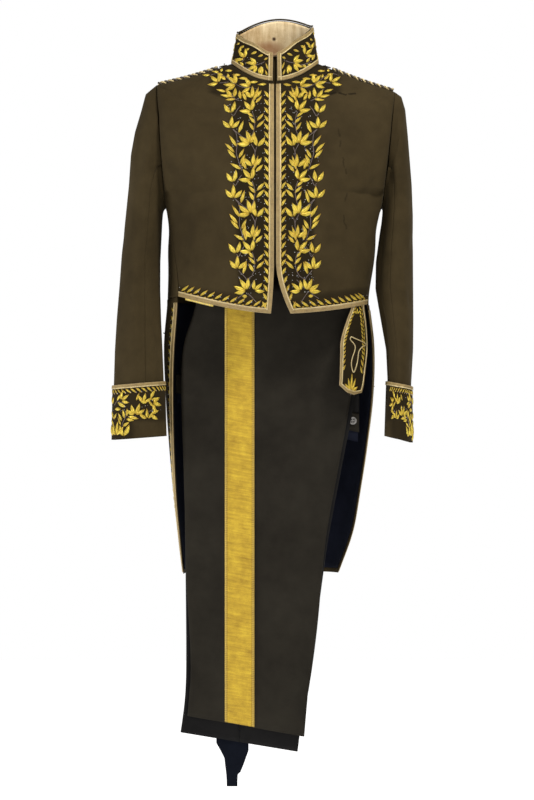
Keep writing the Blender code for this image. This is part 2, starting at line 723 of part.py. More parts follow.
def make_sleeves():
    seam, gap = SLEEVE_SEAM / 360, 0.0006
    top, under = steps(10, -seam, seam), steps(6, seam, 1 - seam)
    all_round = top[:-1] + under
    for side in SIDES:
        rows = SLEEVE[side]

        def axis(point, s=side):
            near = min(SLEEVE[s], key=lambda row: abs((row["outer_z"] + row["inner_z"]) / 2 - point.z))
            return Vector((SIDES[s] * (near["outer_x"] + near["inner_x"]) / 2, near["y"],
                           (near["outer_z"] + near["inner_z"]) / 2))

        shape = Surface(lambda u, v, s=side: sleeve_point(s, u, v), axis, round_u=True)
        along = steps(len(rows) - 1)
        cloth("sleeve_top_" + side, shape, [top[0] + gap] + top[1:-1] + [top[-1] - gap], along, CLOTH, GREEN)
        cloth("sleeve_under_" + side, shape, [under[0] + gap] + under[1:-1] + [under[-1] - gap], along,
              CLOTH, GREEN)
        start = CUFF_START / (len(rows) - 1)
        cloth("cuff_" + side, shape, all_round, steps(3, start + 0.002, 1.0), CLOTH, GREEN, closed=True,
              out=2 * SEAM + CLOTH)
        cloth("cuff_braid_" + side, shape, all_round, (start + 0.002, start + 0.0095), BRAID, PALE_GOLD,
              closed=True, out=3.5 * SEAM + CLOTH + BRAID)


def make_frog():
    frog = Surface(frog_point)
    edge, low = 0.16, 0.94
    across = [0.0, edge, 0.33, 0.5, 0.67, 1 - edge, 1.0]
    down = steps(8)[:-1] + [low, 1.0]
    cloth("sword_frog", frog, across, down, CLOTH, GREEN)
    near = [((0.0, v), (edge, v)) for v in down[1:-2]]
    far = [((1.0, v), (1 - edge, v)) for v in reversed(down[1:-2])]
    foot = [((u, 1.0), (min(max(u, edge), 1 - edge), low)) for u in across]
    braid("frog_braid", frog, near + foot + far, PALE_GOLD)
    top, bottom = FROG[0]["height"], sum(FROG_FOOT) / len(FROG_FOOT)
    slot = [frog.lifted(row["across"] + 0.05, (row["height"] - top) / (bottom - top), 1.6 + 2 * SEAM)
            for row in FROG_SLOT]
    cord("frog_slot_cord", slot, 1.4, PALE_GOLD)


def make_hem_cord():
    front = Surface(lambda u, v: front_point("right", u, v))
    points = [front(u, 0.0) - UP * 2.6 for u in steps(12, 0.50, 0.86)]
    cord("hem_cord_right", points, 2.0, GOLD)


def make_trousers():
    over = steps(6, 1.125, 1.875)
    paths = steps(7) + over + steps(3, 2.0, 3.0)
    creases = (-1, -0.30, -0.2, -0.1, 0, 0.1, 0.2, 0.30, 1)
    for side in SIDES:
        for part in ("front", "back"):
            outer, inner = ([[leg_point(side, part, tau, path, out) for tau in creases] for path in paths]
                            for out in (0.0, -CLOTH))
            wall(f"leg_{part}_{side}", outer, inner, DARK_GREEN)
        outer, inner = ([[waistband_point(side, u, v, out) for u in steps(24)[:-1]] for v in (0.0, 1.0)]
                        for out in (0.0, -CLOTH))
        wall("waistband_" + side, outer, inner, DARK_GREEN, closed=True)
        outer, inner = ([stripe_row(side, path, out) for path in [0.004] + paths[1:-1]]
                        for out in (SEAM + STRIPE_WALL, SEAM))
        wall("stripe_" + side, outer, inner, GOLD)
    outer, inner = ([[waistband_point("right", u, v, out) for u in steps(24)[:-1]] for v in LINING_REACH]
                    for out in (-CLOTH - SEAM, -CLOTH - SEAM - LINING))
    wall("waistband_lining", outer, inner, NAVY, closed=True)
    place = Vector((BRACE_BUTTON["x"], FOLD_Y + FOLD_RADIUS["right"] - BRACE_BUTTON["seat"],
                    BRACE_BUTTON["z"]))
    button("brace_button", place, Vector((0, -1, 0)), BRACE_BUTTON["radius"], BRACE_BUTTON["height"],
           (0.22, 0.22, 0.21), roughness=0.4)


def stripe_row(side, path, out):
    """Points across the side stripe, on the leg's outer face."""
    points = []
    for x in (OUTSEAM_X - STRIPE_WIDTH / 2, OUTSEAM_X, OUTSEAM_X + STRIPE_WIDTH / 2):
        centre, normal = leg_row(side, path, x)
        point = centre + normal * OUTER_FACE[side] * (LEG_HALF + out)
        point.x = x
        points.append(point)
    return points


def make_strap():
    """Strap under the foot: a flat doubled band that narrows below the hem."""
    data = bpy.data.curves.new("foot_strap", "CURVE")
    data.dimensions = "2D"
    data.fill_mode = "BOTH"
    data.extrude = (2 * (LEG_HALF - CLOTH) - 4 * SEAM) / 2 * MM
    wide, narrow = STRAP["wide"] / 2, STRAP["narrow"] / 2
    x, top, bottom = STRAP["x"], STRAP["top"], STRAP["bottom"]
    outline = [(x - wide, top), (x + wide, top), (x + wide, STRAP["outer_end"]),
               (x + wide * 0.5, STRAP["notch"]), (x + narrow * 0.9, STRAP["notch"] - 4),
               (x + narrow * 0.9, bottom), (x - narrow, bottom),
               (x - narrow * 1.4, STRAP["fold"]), (x - wide, STRAP["inner_end"])]
    spline = data.splines.new("POLY")
    spline.points.add(len(outline) - 1)
    for spot, (across, height) in zip(spline.points, outline):
        spot.co = (across * MM, height * MM, 0, 1)
    spline.use_cyclic_u = True
    piece = put("foot_strap", data, NAVY)
    piece.rotation_euler = (math.radians(90), 0, 0)
    piece.location = (0, (FOLD_Y - FOLD_RADIUS["right"]) * MM, 0)


def main():
    clear_scene()
    new_collection("uniform")
    make_coat_body()
    make_tails()
    make_collar()
    make_shoulders()
    make_sleeves()
    make_frog()
    make_hem_cord()
    make_trousers()
    make_strap()


main()
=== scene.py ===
# Dress uniform: the looks of the hollow tailcoat and of its folded trousers.
# Lengths are in millimetres until a mesh is made; -Y is the front, right and left are the wearer's own.
import bisect
import math
import random
from functools import partial

import bmesh
import bpy
import numpy as np
from mathutils import Matrix, Vector
from mathutils.bvhtree import BVHTree


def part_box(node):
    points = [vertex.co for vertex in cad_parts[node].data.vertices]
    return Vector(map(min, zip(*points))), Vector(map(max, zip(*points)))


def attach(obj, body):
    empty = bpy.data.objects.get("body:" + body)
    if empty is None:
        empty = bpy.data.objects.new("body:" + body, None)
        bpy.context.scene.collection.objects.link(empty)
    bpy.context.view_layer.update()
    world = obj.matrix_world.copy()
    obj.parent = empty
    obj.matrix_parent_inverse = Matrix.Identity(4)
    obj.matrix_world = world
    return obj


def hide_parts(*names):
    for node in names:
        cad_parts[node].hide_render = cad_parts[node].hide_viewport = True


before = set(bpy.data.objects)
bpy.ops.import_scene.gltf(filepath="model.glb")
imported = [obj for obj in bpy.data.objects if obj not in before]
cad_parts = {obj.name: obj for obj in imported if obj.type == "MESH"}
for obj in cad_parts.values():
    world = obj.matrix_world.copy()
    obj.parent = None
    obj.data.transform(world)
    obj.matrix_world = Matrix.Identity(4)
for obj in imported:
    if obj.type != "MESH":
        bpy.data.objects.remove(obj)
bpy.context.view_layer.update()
print("frame loaded")

mm = 0.001
upward = Vector((0, 0, 1))
sides = {"right": -1, "left": 1}

# Walls and gaps
seamGap = 0.3          # gap between neighbouring pieces
clothWall = 2.0
liningWall = 1.2
sectionPower = 0.85    # power of the body's sections, 1 for an ellipse

# Levels of the coat
chestLevel = -212.0    # where the armhole meets the side seams
shiftStart = -300.0    # the side seams bend towards the armhole above this
waistSeam = -425.0
tailEnd = -925.0
tailGap = 0.8          # gap at the waist seam, whose two sides have different columns
frontLowest = -443.0   # lowest point of each front
neckFront = -12.0
neckSide = 26.0
neckBack = 50.0

# Neck and collar
neckWidth = 81.0
neckForward = 62.0
neckRear = 70.0
neckY = 5.0
collarTop = {"width": 71.0, "forward": 56.0, "rear": 66.0, "front": 40.0, "side": 88.0, "back": 113.0}
collarTilt = 6.0       # how much higher the top stands at the wearer's left than on the middle line
collarWall = 3.0
collarSwell = {"lift": 9.0, "turn": 148.0, "spread": 20.0}   # the top's straighter run beside the front
collarGapAngle = 3.0

# Shoulders
shoulderTip = {"right": (219.0, -14.0), "left": (222.0, -26.0)}
shoulderGap = 0.42     # half the gap along the shoulder seam
shoulderPart = 0.62    # share of the upper rows that borders the armhole
shoulderSag = 3.0
armholeLow = {"front": -46.0, "back": 226.0}   # where the side seams meet the armhole
armholeTurn = 1.6      # degrees that a side body keeps from those corners
backKeep = 1.9         # a wider share at the back seam, which bends more

# Front edges
frontEdgeX = {"right": 2.0, "left": 1.8}
cornerX = {"right": 7.5, "left": 28.5}
openingStart = -350.0
hemSide = {"right": -410.0, "left": -424.0}
seamAngleHem = {"right": 61.0, "left": 77.0}
seamAngleChest = 74.0
backSeamAngle = 120.0
backSeamWaist = 148.0
seamTurn = (0.42, 0.80)   # degrees that a side body keeps from each seam, at the waist and the armhole
lowerShare = 0.5       # share of a panel's height below the armpit

# Trousers, folded over a hidden bar
foldY = -15.0
foldZ = -402.0
foldRadius = {"left": 23.0, "right": 12.7}
legHalf = 5.0          # half the thickness of a flat leg
creasePart = 0.3       # share of half a leg that turns round its crease
outerFace = {"left": 1, "right": -1}   # the left leg shows its outer side in front, the right its inner
outseamX = -65.5
stripeWidth = 55.0
stripeWall = 1.0
waistband = 36.0
waistEnd = (-588.0, -662.0)   # lower edge of the waistband at its right and left ends


def table(columns, *rows):
    # Rows of a small table as dictionaries keyed by the column names.
    names = columns.split()
    return [dict(zip(names, row)) for row in rows]


torsoRows = table(
    "height right left front back",
    (-205, 203, 198, 124, 112),
    (-295, 202, 191, 119, 106),
    (-350, 199, 184, 114, 100),
    (-410, 200, 175, 111, 98),
    (-450, 202, 176, 111, 99),
)

tailRows = table(
    "height right left right_angle left_angle front back",
    (-425, 201, 176, 62, 78, 108, 99),
    (-500, 207, 184, 62, 80, 100, 104),
    (-590, 204, 182, 66, 84, 96, 106),
    (-680, 198, 172, 70, 88, 92, 105),
    (-780, 189, 158, 75, 94, 88, 101),
    (-850, 180, 147, 80, 100, 84, 97),
    (-925, 171, 124, 88, 108, 80, 92),
)

sleeveRows = {
    "right": table(
        "outer_x outer_z inner_x inner_z depth y",
        (220.5, -14, 204.0, -245, 62, 2),
        (241.0, -31, 205.5, -246, 66, 2),
        (250.0, -65, 207.0, -248, 69, 1),
        (261.0, -102, 208.0, -251, 70, 0),
        (268.6, -144, 209.0, -256, 70, 0),
        (272.3, -201, 210.0, -268, 70, -1),
        (278.0, -257, 211.0, -290, 69, -2),
        (285.6, -333, 213.5, -345, 62, -6),
        (289.3, -389, 213.5, -397, 58, -12),
        (294.0, -451, 211.5, -455, 52, -22),
        (297.0, -510, 208.5, -508, 48, -34),
        (298.5, -572, 206.0, -564, 44, -42),
        (300.0, -675, 203.0, -668, 42, -48),
    ),
    "left": table(
        "outer_x outer_z inner_x inner_z depth y",
        (223.5, -27, 199.0, -245, 62, 2),
        (236.0, -36, 200.0, -246, 66, 2),
        (243.0, -60, 200.5, -248, 69, 1),
        (247.5, -106, 200.5, -252, 70, 0),
        (251.0, -150, 200.0, -258, 71, 0),
        (255.0, -201, 198.5, -272, 71, -1),
        (257.0, -257, 195.5, -290, 71, -3),
        (257.0, -333, 188.0, -345, 68, -8),
        (257.0, -389, 187.0, -395, 66, -16),
        (257.0, -451, 197.0, -455, 64, -26),
        (256.0, -510, 206.0, -508, 62, -36),
        (252.0, -574, 208.5, -564, 60, -42),
        (252.5, -680, 205.0, -668, 58, -46),
    ),
}
sleeveSeam = 108.0     # degrees from the outer edge to each sleeve seam
cuffStart = 11         # sleeve row where the cuff begins

nearLegRows = table(
    "height right_edge left_edge",
    (-402, -142, 166.4),
    (-424, -147, 166.4),
    (-445, -152, 161),
    (-500, -168, 154),
    (-590, -172, 141),
    (-720, -168, 118),
    (-853, -165, 96),
    (-925, -164, 88),
    (-1005, -159, 80),
    (-1095, -155, 68),
    (-1150, -158, 60),
    (-1225, -165, 54),
)

farLegRows = table(
    "height right_edge left_edge",
    (-402, -142, 166.4),
    (-445, -152, 162),
    (-500, -166, 158),
    (-590, -170, 149),
    (-720, -168, 124),
    (-853, -167, 99),
    (-925, -166, 89),
    (-1095, -165, 66),
    (-1160, -168, 54),
    (-1255, -181, 42),
)

seatRows = table(
    "height right_edge left_edge",
    (-700, -186, 158),
    (-590, -182, 157),
    (-500, -170, 157),
    (-402, -142, 166.4),
)

legRows = {"left": nearLegRows, "right": farLegRows}
legHem = {"left": (-1186.0, -1225.0), "right": (-1217.0, -1254.0)}   # at its right and left ends

frogRows = table(
    "height near far",
    (-414, 143, 164),
    (-430, 141, 165),
    (-457, 131, 168.5),
    (-492, 121, 171),
    (-517, 120, 170.5),
    (-548, 119, 164.5),
    (-562, 118, 160),
)
frogFoot = (-574.0, -593.0, -588.0)   # lower edge at its near side, its point and its far side


def read(rows, column, height):
    # Smooth value of a column at a height, with even slopes through the table's rows.
    rows = sorted(rows, key=lambda row: row["height"])
    height = min(max(height, rows[0]["height"]), rows[-1]["height"])
    spot = 0
    while spot < len(rows) - 2 and height > rows[spot + 1]["height"]:
        spot += 1
    low, high = rows[spot], rows[spot + 1]

    def slope(index):
        before, after = rows[max(index - 1, 0)], rows[min(index + 1, len(rows) - 1)]
        return (after[column] - before[column]) / (after["height"] - before["height"])

    span = high["height"] - low["height"]
    t = (height - low["height"]) / span
    start, end = slope(spot) * span, slope(spot + 1) * span
    return ((2 * t**3 - 3 * t**2 + 1) * low[column] + (t**3 - 2 * t**2 + t) * start
            + (3 * t**2 - 2 * t**3) * high[column] + (t**3 - t**2) * end)


def mix(a, b, t):
    return a + (b - a) * t


def smooth(t):
    t = min(max(t, 0.0), 1.0)
    return t * t * (3 - 2 * t)


def power(value, exponent):
    return math.copysign(abs(value) ** exponent, value)


# The coat's body


def torso(side, angle, height, rows=torsoRows):
    # Outer point of the body at a height, the angle running from the front to the back.
    turn = math.radians(angle)
    depth = read(rows, "front" if angle < 90 else "back", height)
    return Vector((sides[side] * read(rows, side, height) * power(math.sin(turn), sectionPower),
                   -depth * power(math.cos(turn), sectionPower), height))


def armhole(side, angle):
    # Point of the armhole ring: -90 at the armpit, 90 at the tip, the front at 0.
    ring = sleeveRows[side][0]
    turn = math.radians(angle)
    middleX, middleZ = (ring["outer_x"] + ring["inner_x"]) / 2, (ring["outer_z"] + ring["inner_z"]) / 2
    halfX, halfZ = (ring["outer_x"] - ring["inner_x"]) / 2, (ring["outer_z"] - ring["inner_z"]) / 2
    return Vector((sides[side] * (middleX + halfX * math.sin(turn) - 2 * seamGap),
                   ring["y"] - ring["depth"] * math.cos(turn), middleZ + halfZ * math.sin(turn)))


def edgeX(side, height):
    # Distance of a front's edge from the middle plane.
    run = max(0.0, (openingStart - height) / (openingStart - frontLowest))
    return mix(frontEdgeX[side], cornerX[side], min(run, 1.0) ** 1.7)


def neck(side, angle, lift=0.0):
    # Point of the neckline; lift runs from 0 at the seam to 1 at the collar's top edge.
    turn = math.radians(angle)
    front = angle < 90
    depth = mix(neckForward if front else neckRear,
                collarTop["forward"] if front else collarTop["rear"], lift)
    baseEnd, topEnd = (neckFront, collarTop["front"]) if front else (neckBack, collarTop["back"])
    lean = math.cos(turn) ** 2
    return Vector((sides[side] * mix(neckWidth, collarTop["width"], lift) * math.sin(turn),
                   neckY - depth * math.cos(turn),
                   mix(mix(neckSide, baseEnd, lean), mix(collarTop["side"], topEnd, lean), lift)))


def shoulder(side, share):
    # Point of the shoulder seam, from the tip at 0 to the neck at 1.
    tipX, tipZ = shoulderTip[side]
    tip = Vector((sides[side] * tipX, sleeveRows[side][0]["y"], tipZ))
    point = tip.lerp(neck(side, 90), share)
    point.z -= shoulderSag * math.sin(math.pi * share)
    return point


def upper(side, part, share, across):
    # Point above the armpit of the front or the back, from the middle (across 0) to the armhole.
    front = part == "front"
    level = read(torsoRows, part, chestLevel)
    if front:
        start = Vector((sides[side] * frontEdgeX[side],
                        mix(-level, neckY - neckForward, share**1.6),
                        mix(chestLevel, neckFront, share)))
    else:
        start = Vector((sides[side] * seamGap, mix(level, neckY + neckRear, share**2.0),
                        mix(chestLevel, neckBack, share)))
    if share < shoulderPart:
        end = armhole(side, mix(armholeLow[part], 90, share / shoulderPart))
    else:
        end = shoulder(side, (share - shoulderPart) / (1 - shoulderPart))
    end.y += -shoulderGap if front else shoulderGap
    turn = math.radians(90 * across)
    return Vector((mix(start.x, end.x, math.sin(turn)), mix(end.y, start.y, math.cos(turn)),
                   mix(end.z, start.z, math.cos(turn) ** 2)))


def seamShift(side, part, height):
    # Move that brings a side seam to the armhole's low corner near the chest level.
    angle = seamAngleChest if part == "front" else backSeamAngle
    shift = armhole(side, armholeLow[part]) - torso(side, angle, chestLevel)
    return shift * smooth((height - shiftStart) / (chestLevel - shiftStart))


def lower(side, part, height, angle, reach):
    # Point below the armpit, its side seam led into the armhole's low corner.
    return torso(side, angle, height) + seamShift(side, part, height) * reach**3


def seamAngle(side, part, height):
    # Angle of a side body's seam with the front, or with the back, which is drawn in at the waist.
    share = smooth((height - waistSeam) / (chestLevel - waistSeam))
    if part == "front":
        return mix(seamAngleHem[side], seamAngleChest, share)
    return mix(backSeamWaist, backSeamAngle, share)


def frontPoint(side, u, v):
    # Front panel, u from its edge to the side seam, v from the hem to the shoulder.
    if v >= lowerShare:
        return upper(side, "front", (v - lowerShare) / (1 - lowerShare), u)
    share = v / lowerShare
    hem = mix(frontLowest, hemSide[side], smooth(u) * 0.4 + u * 0.6)
    height = mix(hem, chestLevel, share)
    part = edgeX(side, height) / read(torsoRows, side, height)
    start = math.degrees(math.asin(part ** (1 / sectionPower)))
    return lower(side, "front", height, mix(start, seamAngle(side, "front", height), u), u)


def backPoint(side, u, v):
    # Back panel, u from the middle seam to the side seam, v from the waist to the shoulder.
    if v >= lowerShare:
        return upper(side, "back", (v - lowerShare) / (1 - lowerShare), u)
    height = mix(waistSeam, chestLevel, v / lowerShare)
    return lower(side, "back", height, mix(179.9, seamAngle(side, "back", height), u), u)


def sidePoint(side, u, v):
    # Side body under the armhole, u from the front seam to the back seam.
    top = armhole(side, mix(armholeLow["front"] - armholeTurn,
                            armholeLow["back"] - 360 + backKeep * armholeTurn, u))
    corner = mix(armhole(side, armholeLow["front"]).z, armhole(side, armholeLow["back"]).z, u)

    def plain(height):
        keep = mix(*seamTurn, smooth((height - shiftStart) / (chestLevel - shiftStart)))
        angle = mix(seamAngle(side, "front", height) + keep,
                    seamAngle(side, "back", height) - backKeep * keep, u)
        return torso(side, angle, height) + seamShift(side, "front", height).lerp(
            seamShift(side, "back", height), u)

    topHeight = chestLevel + top.z - corner
    bend = smooth((v - 0.4) / 0.6)
    return plain(mix(mix(hemSide[side], waistSeam, u), topHeight, v)) + (
        top - plain(topHeight) - upward * seamGap) * bend


def tailPoint(side, u, v):
    # Tail, u from its front edge to the vent, v from the waist seam to the lower edge.
    start = read(tailRows, side + "_angle", mix(waistSeam, tailEnd, v))
    angle = mix(start, mix(179.6, 172, v), u)
    share = min((angle - start) / (backSeamWaist - start), 1.0)
    return torso(side, angle, mix(mix(hemSide[side], waistSeam, share) - tailGap, tailEnd, v), tailRows)


# Collar, sleeves and cuffs


def collarPoint(u, v):
    # Collar, u right round from the right front edge to the left one, v from the seam to the top.
    around = mix(-180 + collarGapAngle, 180 - collarGapAngle, u)
    side = "right" if around < 0 else "left"
    point = neck(side, 180 - abs(around), v)
    turn = abs(around)
    point.z += 1.5 * seamGap + collarTilt * v * point.x / collarTop["width"]
    near = (turn - collarSwell["turn"]) / collarSwell["spread"]
    point.z += v * collarSwell["lift"] * math.exp(-near ** 2)
    return point


def sleeveRow(side, v):
    # Sleeve measures at a share of its length, blended between the table's rows.
    rows = sleeveRows[side]
    place = v * (len(rows) - 1)
    spot = min(int(place), len(rows) - 2)
    return {name: mix(rows[spot][name], rows[spot + 1][name], place - spot) for name in rows[0]}


def sleevePoint(side, u, v):
    # Point of a sleeve, u right round from the outer edge by the front, v from the shoulder down.
    row, turn = sleeveRow(side, v), math.radians(360 * u)
    outer = Vector((sides[side] * row["outer_x"], row["y"], row["outer_z"]))
    inner = Vector((sides[side] * row["inner_x"], row["y"], row["inner_z"]))
    point = (outer + inner) / 2 + (outer - inner) / 2 * math.cos(turn)
    point.y -= row["depth"] * math.sin(turn)
    return point


# Trousers


def slanted(ends, rows, x):
    # Height of a slanted edge at x, from its two ends at the first row's edges.
    share = (x - rows["right_edge"]) / (rows["left_edge"] - rows["right_edge"])
    return mix(ends[0], ends[1], share)


def legRow(side, path, x):
    # Place on a leg's bent path: 0 to 1 up the front, 1 to 2 over the bar, 2 to 3 down behind.
    radius = foldRadius[side]
    hem = slanted(legHem[side], legRows[side][-1], x)
    waist = slanted(waistEnd, seatRows[0], x) + waistband + seamGap
    if path <= 1:
        centre = Vector((0, foldY - radius, mix(hem, foldZ, path)))
        normal = Vector((0, -1, 0))
    elif path <= 2:
        turn = math.radians(180 * (path - 1))
        normal = Vector((0, -math.cos(turn), math.sin(turn)))
        centre = Vector((0, foldY, foldZ)) + normal * radius
    else:
        centre = Vector((0, foldY + radius, mix(foldZ, waist, path - 2)))
        normal = Vector((0, 1, 0))
    return centre, normal


def legPoint(side, part, tau, path, out=0.0):
    # Half of a flat leg: tau from -1 at the outer seam, by the crease at 0, to 1 at the inner seam.
    rows = legRows[side] if path <= 1 else seatRows
    creaseColumn = "right_edge" if part == "front" else "left_edge"
    inward = 1 if part == "front" else -1
    level = legRow(side, path, rows[-1 if path <= 1 else 0][creaseColumn])[0].z
    crease = read(rows, creaseColumn, level)
    half = legHalf + out
    if abs(tau) < creasePart:
        turn = math.radians(90 * abs(tau) / creasePart)
        x = crease + inward * (legHalf - half * math.cos(turn))
        offset = half * math.sin(turn)
    else:
        share = (abs(tau) - creasePart) / (1 - creasePart)
        x = mix(crease + inward * legHalf, outseamX - inward * seamGap * 0.6, share)
        offset = half
    centre, normal = legRow(side, path, x)
    point = centre - normal * offset * outerFace[side] * math.copysign(1, tau)
    point.x = x
    return point


def waistbandPoint(side, u, v, out=0.0):
    # Flat band below the seat's lower end, u right round, v from its lower edge to its seam.
    turn = 2 * math.pi * u
    middle = (seatRows[0]["right_edge"] + seatRows[0]["left_edge"]) / 2
    halfWidth = (seatRows[0]["left_edge"] - seatRows[0]["right_edge"]) / 2 - legHalf - 1
    x = middle + halfWidth * power(math.cos(turn), 0.6) + (legHalf + out) * math.cos(turn)
    return Vector((x, foldY + foldRadius[side] + (legHalf + out) * power(math.sin(turn), 0.5),
                   slanted(waistEnd, seatRows[0], x) + waistband * v))


def frogPoint(u, v):
    # Sword frog, u from its near to its far edge, v from its top down.
    height = mix(frogRows[0]["height"], frogRows[-1]["height"], v)
    x = mix(read(frogRows, "near", height), read(frogRows, "far", height), u)
    left, point, right = frogFoot
    foot = mix(left, point, u / 0.5) if u < 0.5 else mix(point, right, (u - 0.5) / 0.5)
    low = height + (foot - frogRows[-1]["height"]) * smooth((v - 0.7) / 0.3)
    reach, depth = 172.5, 108.5
    y = -depth * (1 - (x / reach) ** (2 / sectionPower)) ** (sectionPower / 2)
    return Vector((x, y, low))


# Mesh helpers


def linear(count, low=0.0, high=1.0):
    return [low + (high - low) * number / count for number in range(count + 1)]


def asGrid(surface, us, vs):
    return np.array([[tuple(surface(u, v)) for u in us] for v in vs])


def unit(vectors):
    return vectors / np.linalg.norm(vectors, axis=-1, keepdims=True)


def outward(points, centre, closed=False):
    # normals of a grid of points, turned to look away from the centre
    if closed:
        wide = np.concatenate([points[:, -1:], points, points[:, :1]], axis=1)
        across = wide[:, 2:] - wide[:, :-2]
    else:
        across = np.gradient(points, axis=1)
    normals = np.cross(across, np.gradient(points, axis=0))
    normals /= np.maximum(np.linalg.norm(normals, axis=2, keepdims=True), 1e-9)
    away = points - centre(points)
    return -normals if (normals * away).sum() < 0 else normals


def centreLine(points, depth=0.0):
    # the nearest places of an upright line in the middle plane
    middle = np.zeros_like(points)
    middle[..., 1] = depth
    middle[..., 2] = points[..., 2]
    return middle


def lengthsAlong(points, axis):
    step = np.linalg.norm(np.diff(points, axis=axis), axis=2)
    pad = [(0, 0), (0, 0)]
    pad[axis] = (1, 0)
    return np.pad(np.cumsum(step, axis=axis), pad)


def lineLength(points):
    return sum(np.linalg.norm(np.diff(points, axis=0), axis=1))


def finishMesh(name, mesh, spots, materials):
    # UV map in metres of flat cloth, soft shading, materials and the object
    layer = mesh.uv_layers.new(name="cloth")
    layer.data.foreach_set("uv", spots.ravel().astype(np.float32))
    mesh.shade_smooth()
    for material in materials:
        mesh.materials.append(material)
    piece = bpy.data.objects.new(name, mesh)
    bpy.context.scene.collection.objects.link(piece)
    return piece


def makeWall(name, outer, inner, material, closed=False, sewn=None):
    # closed wall between two grids
    tall, wide = outer.shape[:2]
    back = tall * wide
    points = np.concatenate([outer.reshape(-1, 3), inner.reshape(-1, 3)]) * mm
    low, step = np.meshgrid(np.arange(tall - 1), np.arange(wide if closed else wide - 1), indexing="ij")
    a, b = (low * wide + step).ravel(), (low * wide + (step + 1) % wide).ravel()
    c, d = b + wide, a + wide
    skin = np.stack([a, b, c, d], axis=1)
    step = np.arange(wide if closed else wide - 1)
    right = (step + 1) % wide
    top = (tall - 1) * wide
    rims = [np.stack([right, step, back + step, back + right], axis=1),
            np.stack([top + step, top + right, back + top + right, back + top + step], axis=1)]
    if not closed:
        near = np.arange(tall - 1) * wide
        far = near + wide - 1
        rims.append(np.stack([near, near + wide, back + near + wide, back + near], axis=1))
        rims.append(np.stack([far + wide, far, back + far, back + far + wide], axis=1))
    faces = np.concatenate([skin, np.stack([d, c, b, a], axis=1) + back] + rims)
    q = points[skin]
    facing = np.cross(q[:, 2] - q[:, 0], q[:, 3] - q[:, 1])
    if (facing * (points[skin[:, 0]] - points[skin[:, 0] + back])).sum() < 0:
        faces = faces[:, ::-1]
    mesh = bpy.data.meshes.new(name)
    mesh.from_pydata(points.tolist(), [], faces.tolist())
    across, along = lengthsAlong(outer, 1), lengthsAlong(outer, 0)
    flat = np.stack([across.ravel(), along.ravel()], axis=1) * mm
    spots = np.concatenate([flat, flat])[faces.ravel()]
    if closed:
        # the last column's faces run on to the whole girth instead of back to nought
        column, row = faces % back % wide, faces % back // wide
        wrap = (column.max(axis=1) == wide - 1) & (column.min(axis=1) == 0)
        girth = across[:, -1] + np.linalg.norm(outer[:, 0] - outer[:, -1], axis=1)
        turned = wrap[:, None] & (column == 0)
        spots.reshape(*faces.shape, 2)[turned, 0] = girth[row[turned]] * mm
    if sewn is not None:
        # how far each place lies in the embroidered ground, from 0 to 1, where the wool gets painted shade
        # among the embroidery
        share = mesh.attributes.new("sewn", "FLOAT", "POINT")
        share.data.foreach_set("value", np.concatenate([sewn.ravel()] * 2).astype(np.float32))
    return finishMesh(name, mesh, spots, [material])


def settle(piece, slotName, *nodes, **cut):
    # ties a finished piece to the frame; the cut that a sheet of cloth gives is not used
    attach(piece, "root")
    if nodes:
        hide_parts(*nodes)
    return piece


class Ground:
    # a finished cloth's outer face, for what is sewn on it; u and v as on the cloth
    def __init__(self, us, vs, points, normals):
        self.us, self.vs, self.points, self.normals = us, vs, points, normals

    def place(self, u, v):
        spots = []
        for value, stops in ((u, self.us), (v, self.vs)):
            low = min(max(bisect.bisect_right(stops, value) - 1, 0), len(stops) - 2)
            spots.append((low, (value - stops[low]) / (stops[low + 1] - stops[low])))
        return spots

    def at(self, u, v, out=0.0):
        (i, s), (j, t) = self.place(u, v)
        total, facing = np.zeros(3), np.zeros(3)
        for row, share in ((j, 1 - t), (j + 1, t)):
            for column, part in ((i, 1 - s), (i + 1, s)):
                total += self.points[row, column] * share * part
                facing += self.normals[row, column] * share * part
        return total + facing / np.linalg.norm(facing) * out

    def scale(self, u, v):
        # millimetres for each unit of u and of v here
        (i, _), (j, _) = self.place(u, v)
        p = self.points
        wide = np.linalg.norm(p[j, i + 1] - p[j, i]) / (self.us[i + 1] - self.us[i])
        tall = np.linalg.norm(p[j + 1, i] - p[j, i]) / (self.vs[j + 1] - self.vs[j])
        return max(wide, 1.0), max(tall, 1.0)

    def moved(self, u, v, across, along):
        wide, tall = self.scale(u, v)
        return u + across / wide, v + along / tall

    def covers(self, u, v):
        return self.us[0] <= u <= self.us[-1] and self.vs[0] <= v <= self.vs[-1]


skins = {}       # ray trees of the finished cloth, for what is sewn on it
grounds = {}


def keepSkin(name, outer):
    tall, wide = outer.shape[:2]
    low, step = np.meshgrid(np.arange(tall - 1), np.arange(wide - 1), indexing="ij")
    a = (low * wide + step).ravel()
    faces = np.stack([a, a + 1, a + 1 + wide, a + wide], axis=1)
    skins[name] = BVHTree.FromPolygons(outer.reshape(-1, 3).tolist(), faces.tolist())


def creased(points, rows, sign=1, middle=0):
    # Sum of soft troughs, or ridges where the depth is negative, that fade at their ends. A row is the start,
    # the end, the width and the depth; x counts from the given middle, away from the body.
    total = 0
    for x, y, z, toX, toY, toZ, width, depth in rows:
        start = np.array((sign * (middle + x), y, z), float)
        line = np.array((sign * (middle + toX), toY, toZ), float) - start
        share = ((points - start) @ line) / (line @ line)
        nearest = start + np.clip(share, 0, 1)[..., None] * line
        gap = np.linalg.norm(points - nearest, axis=-1)
        ends = np.clip(1 - np.abs(share - 0.5) * 1.15, 0, 1)
        total = total - depth * np.exp(-(gap / width) ** 2) * np.sqrt(ends)
    return total


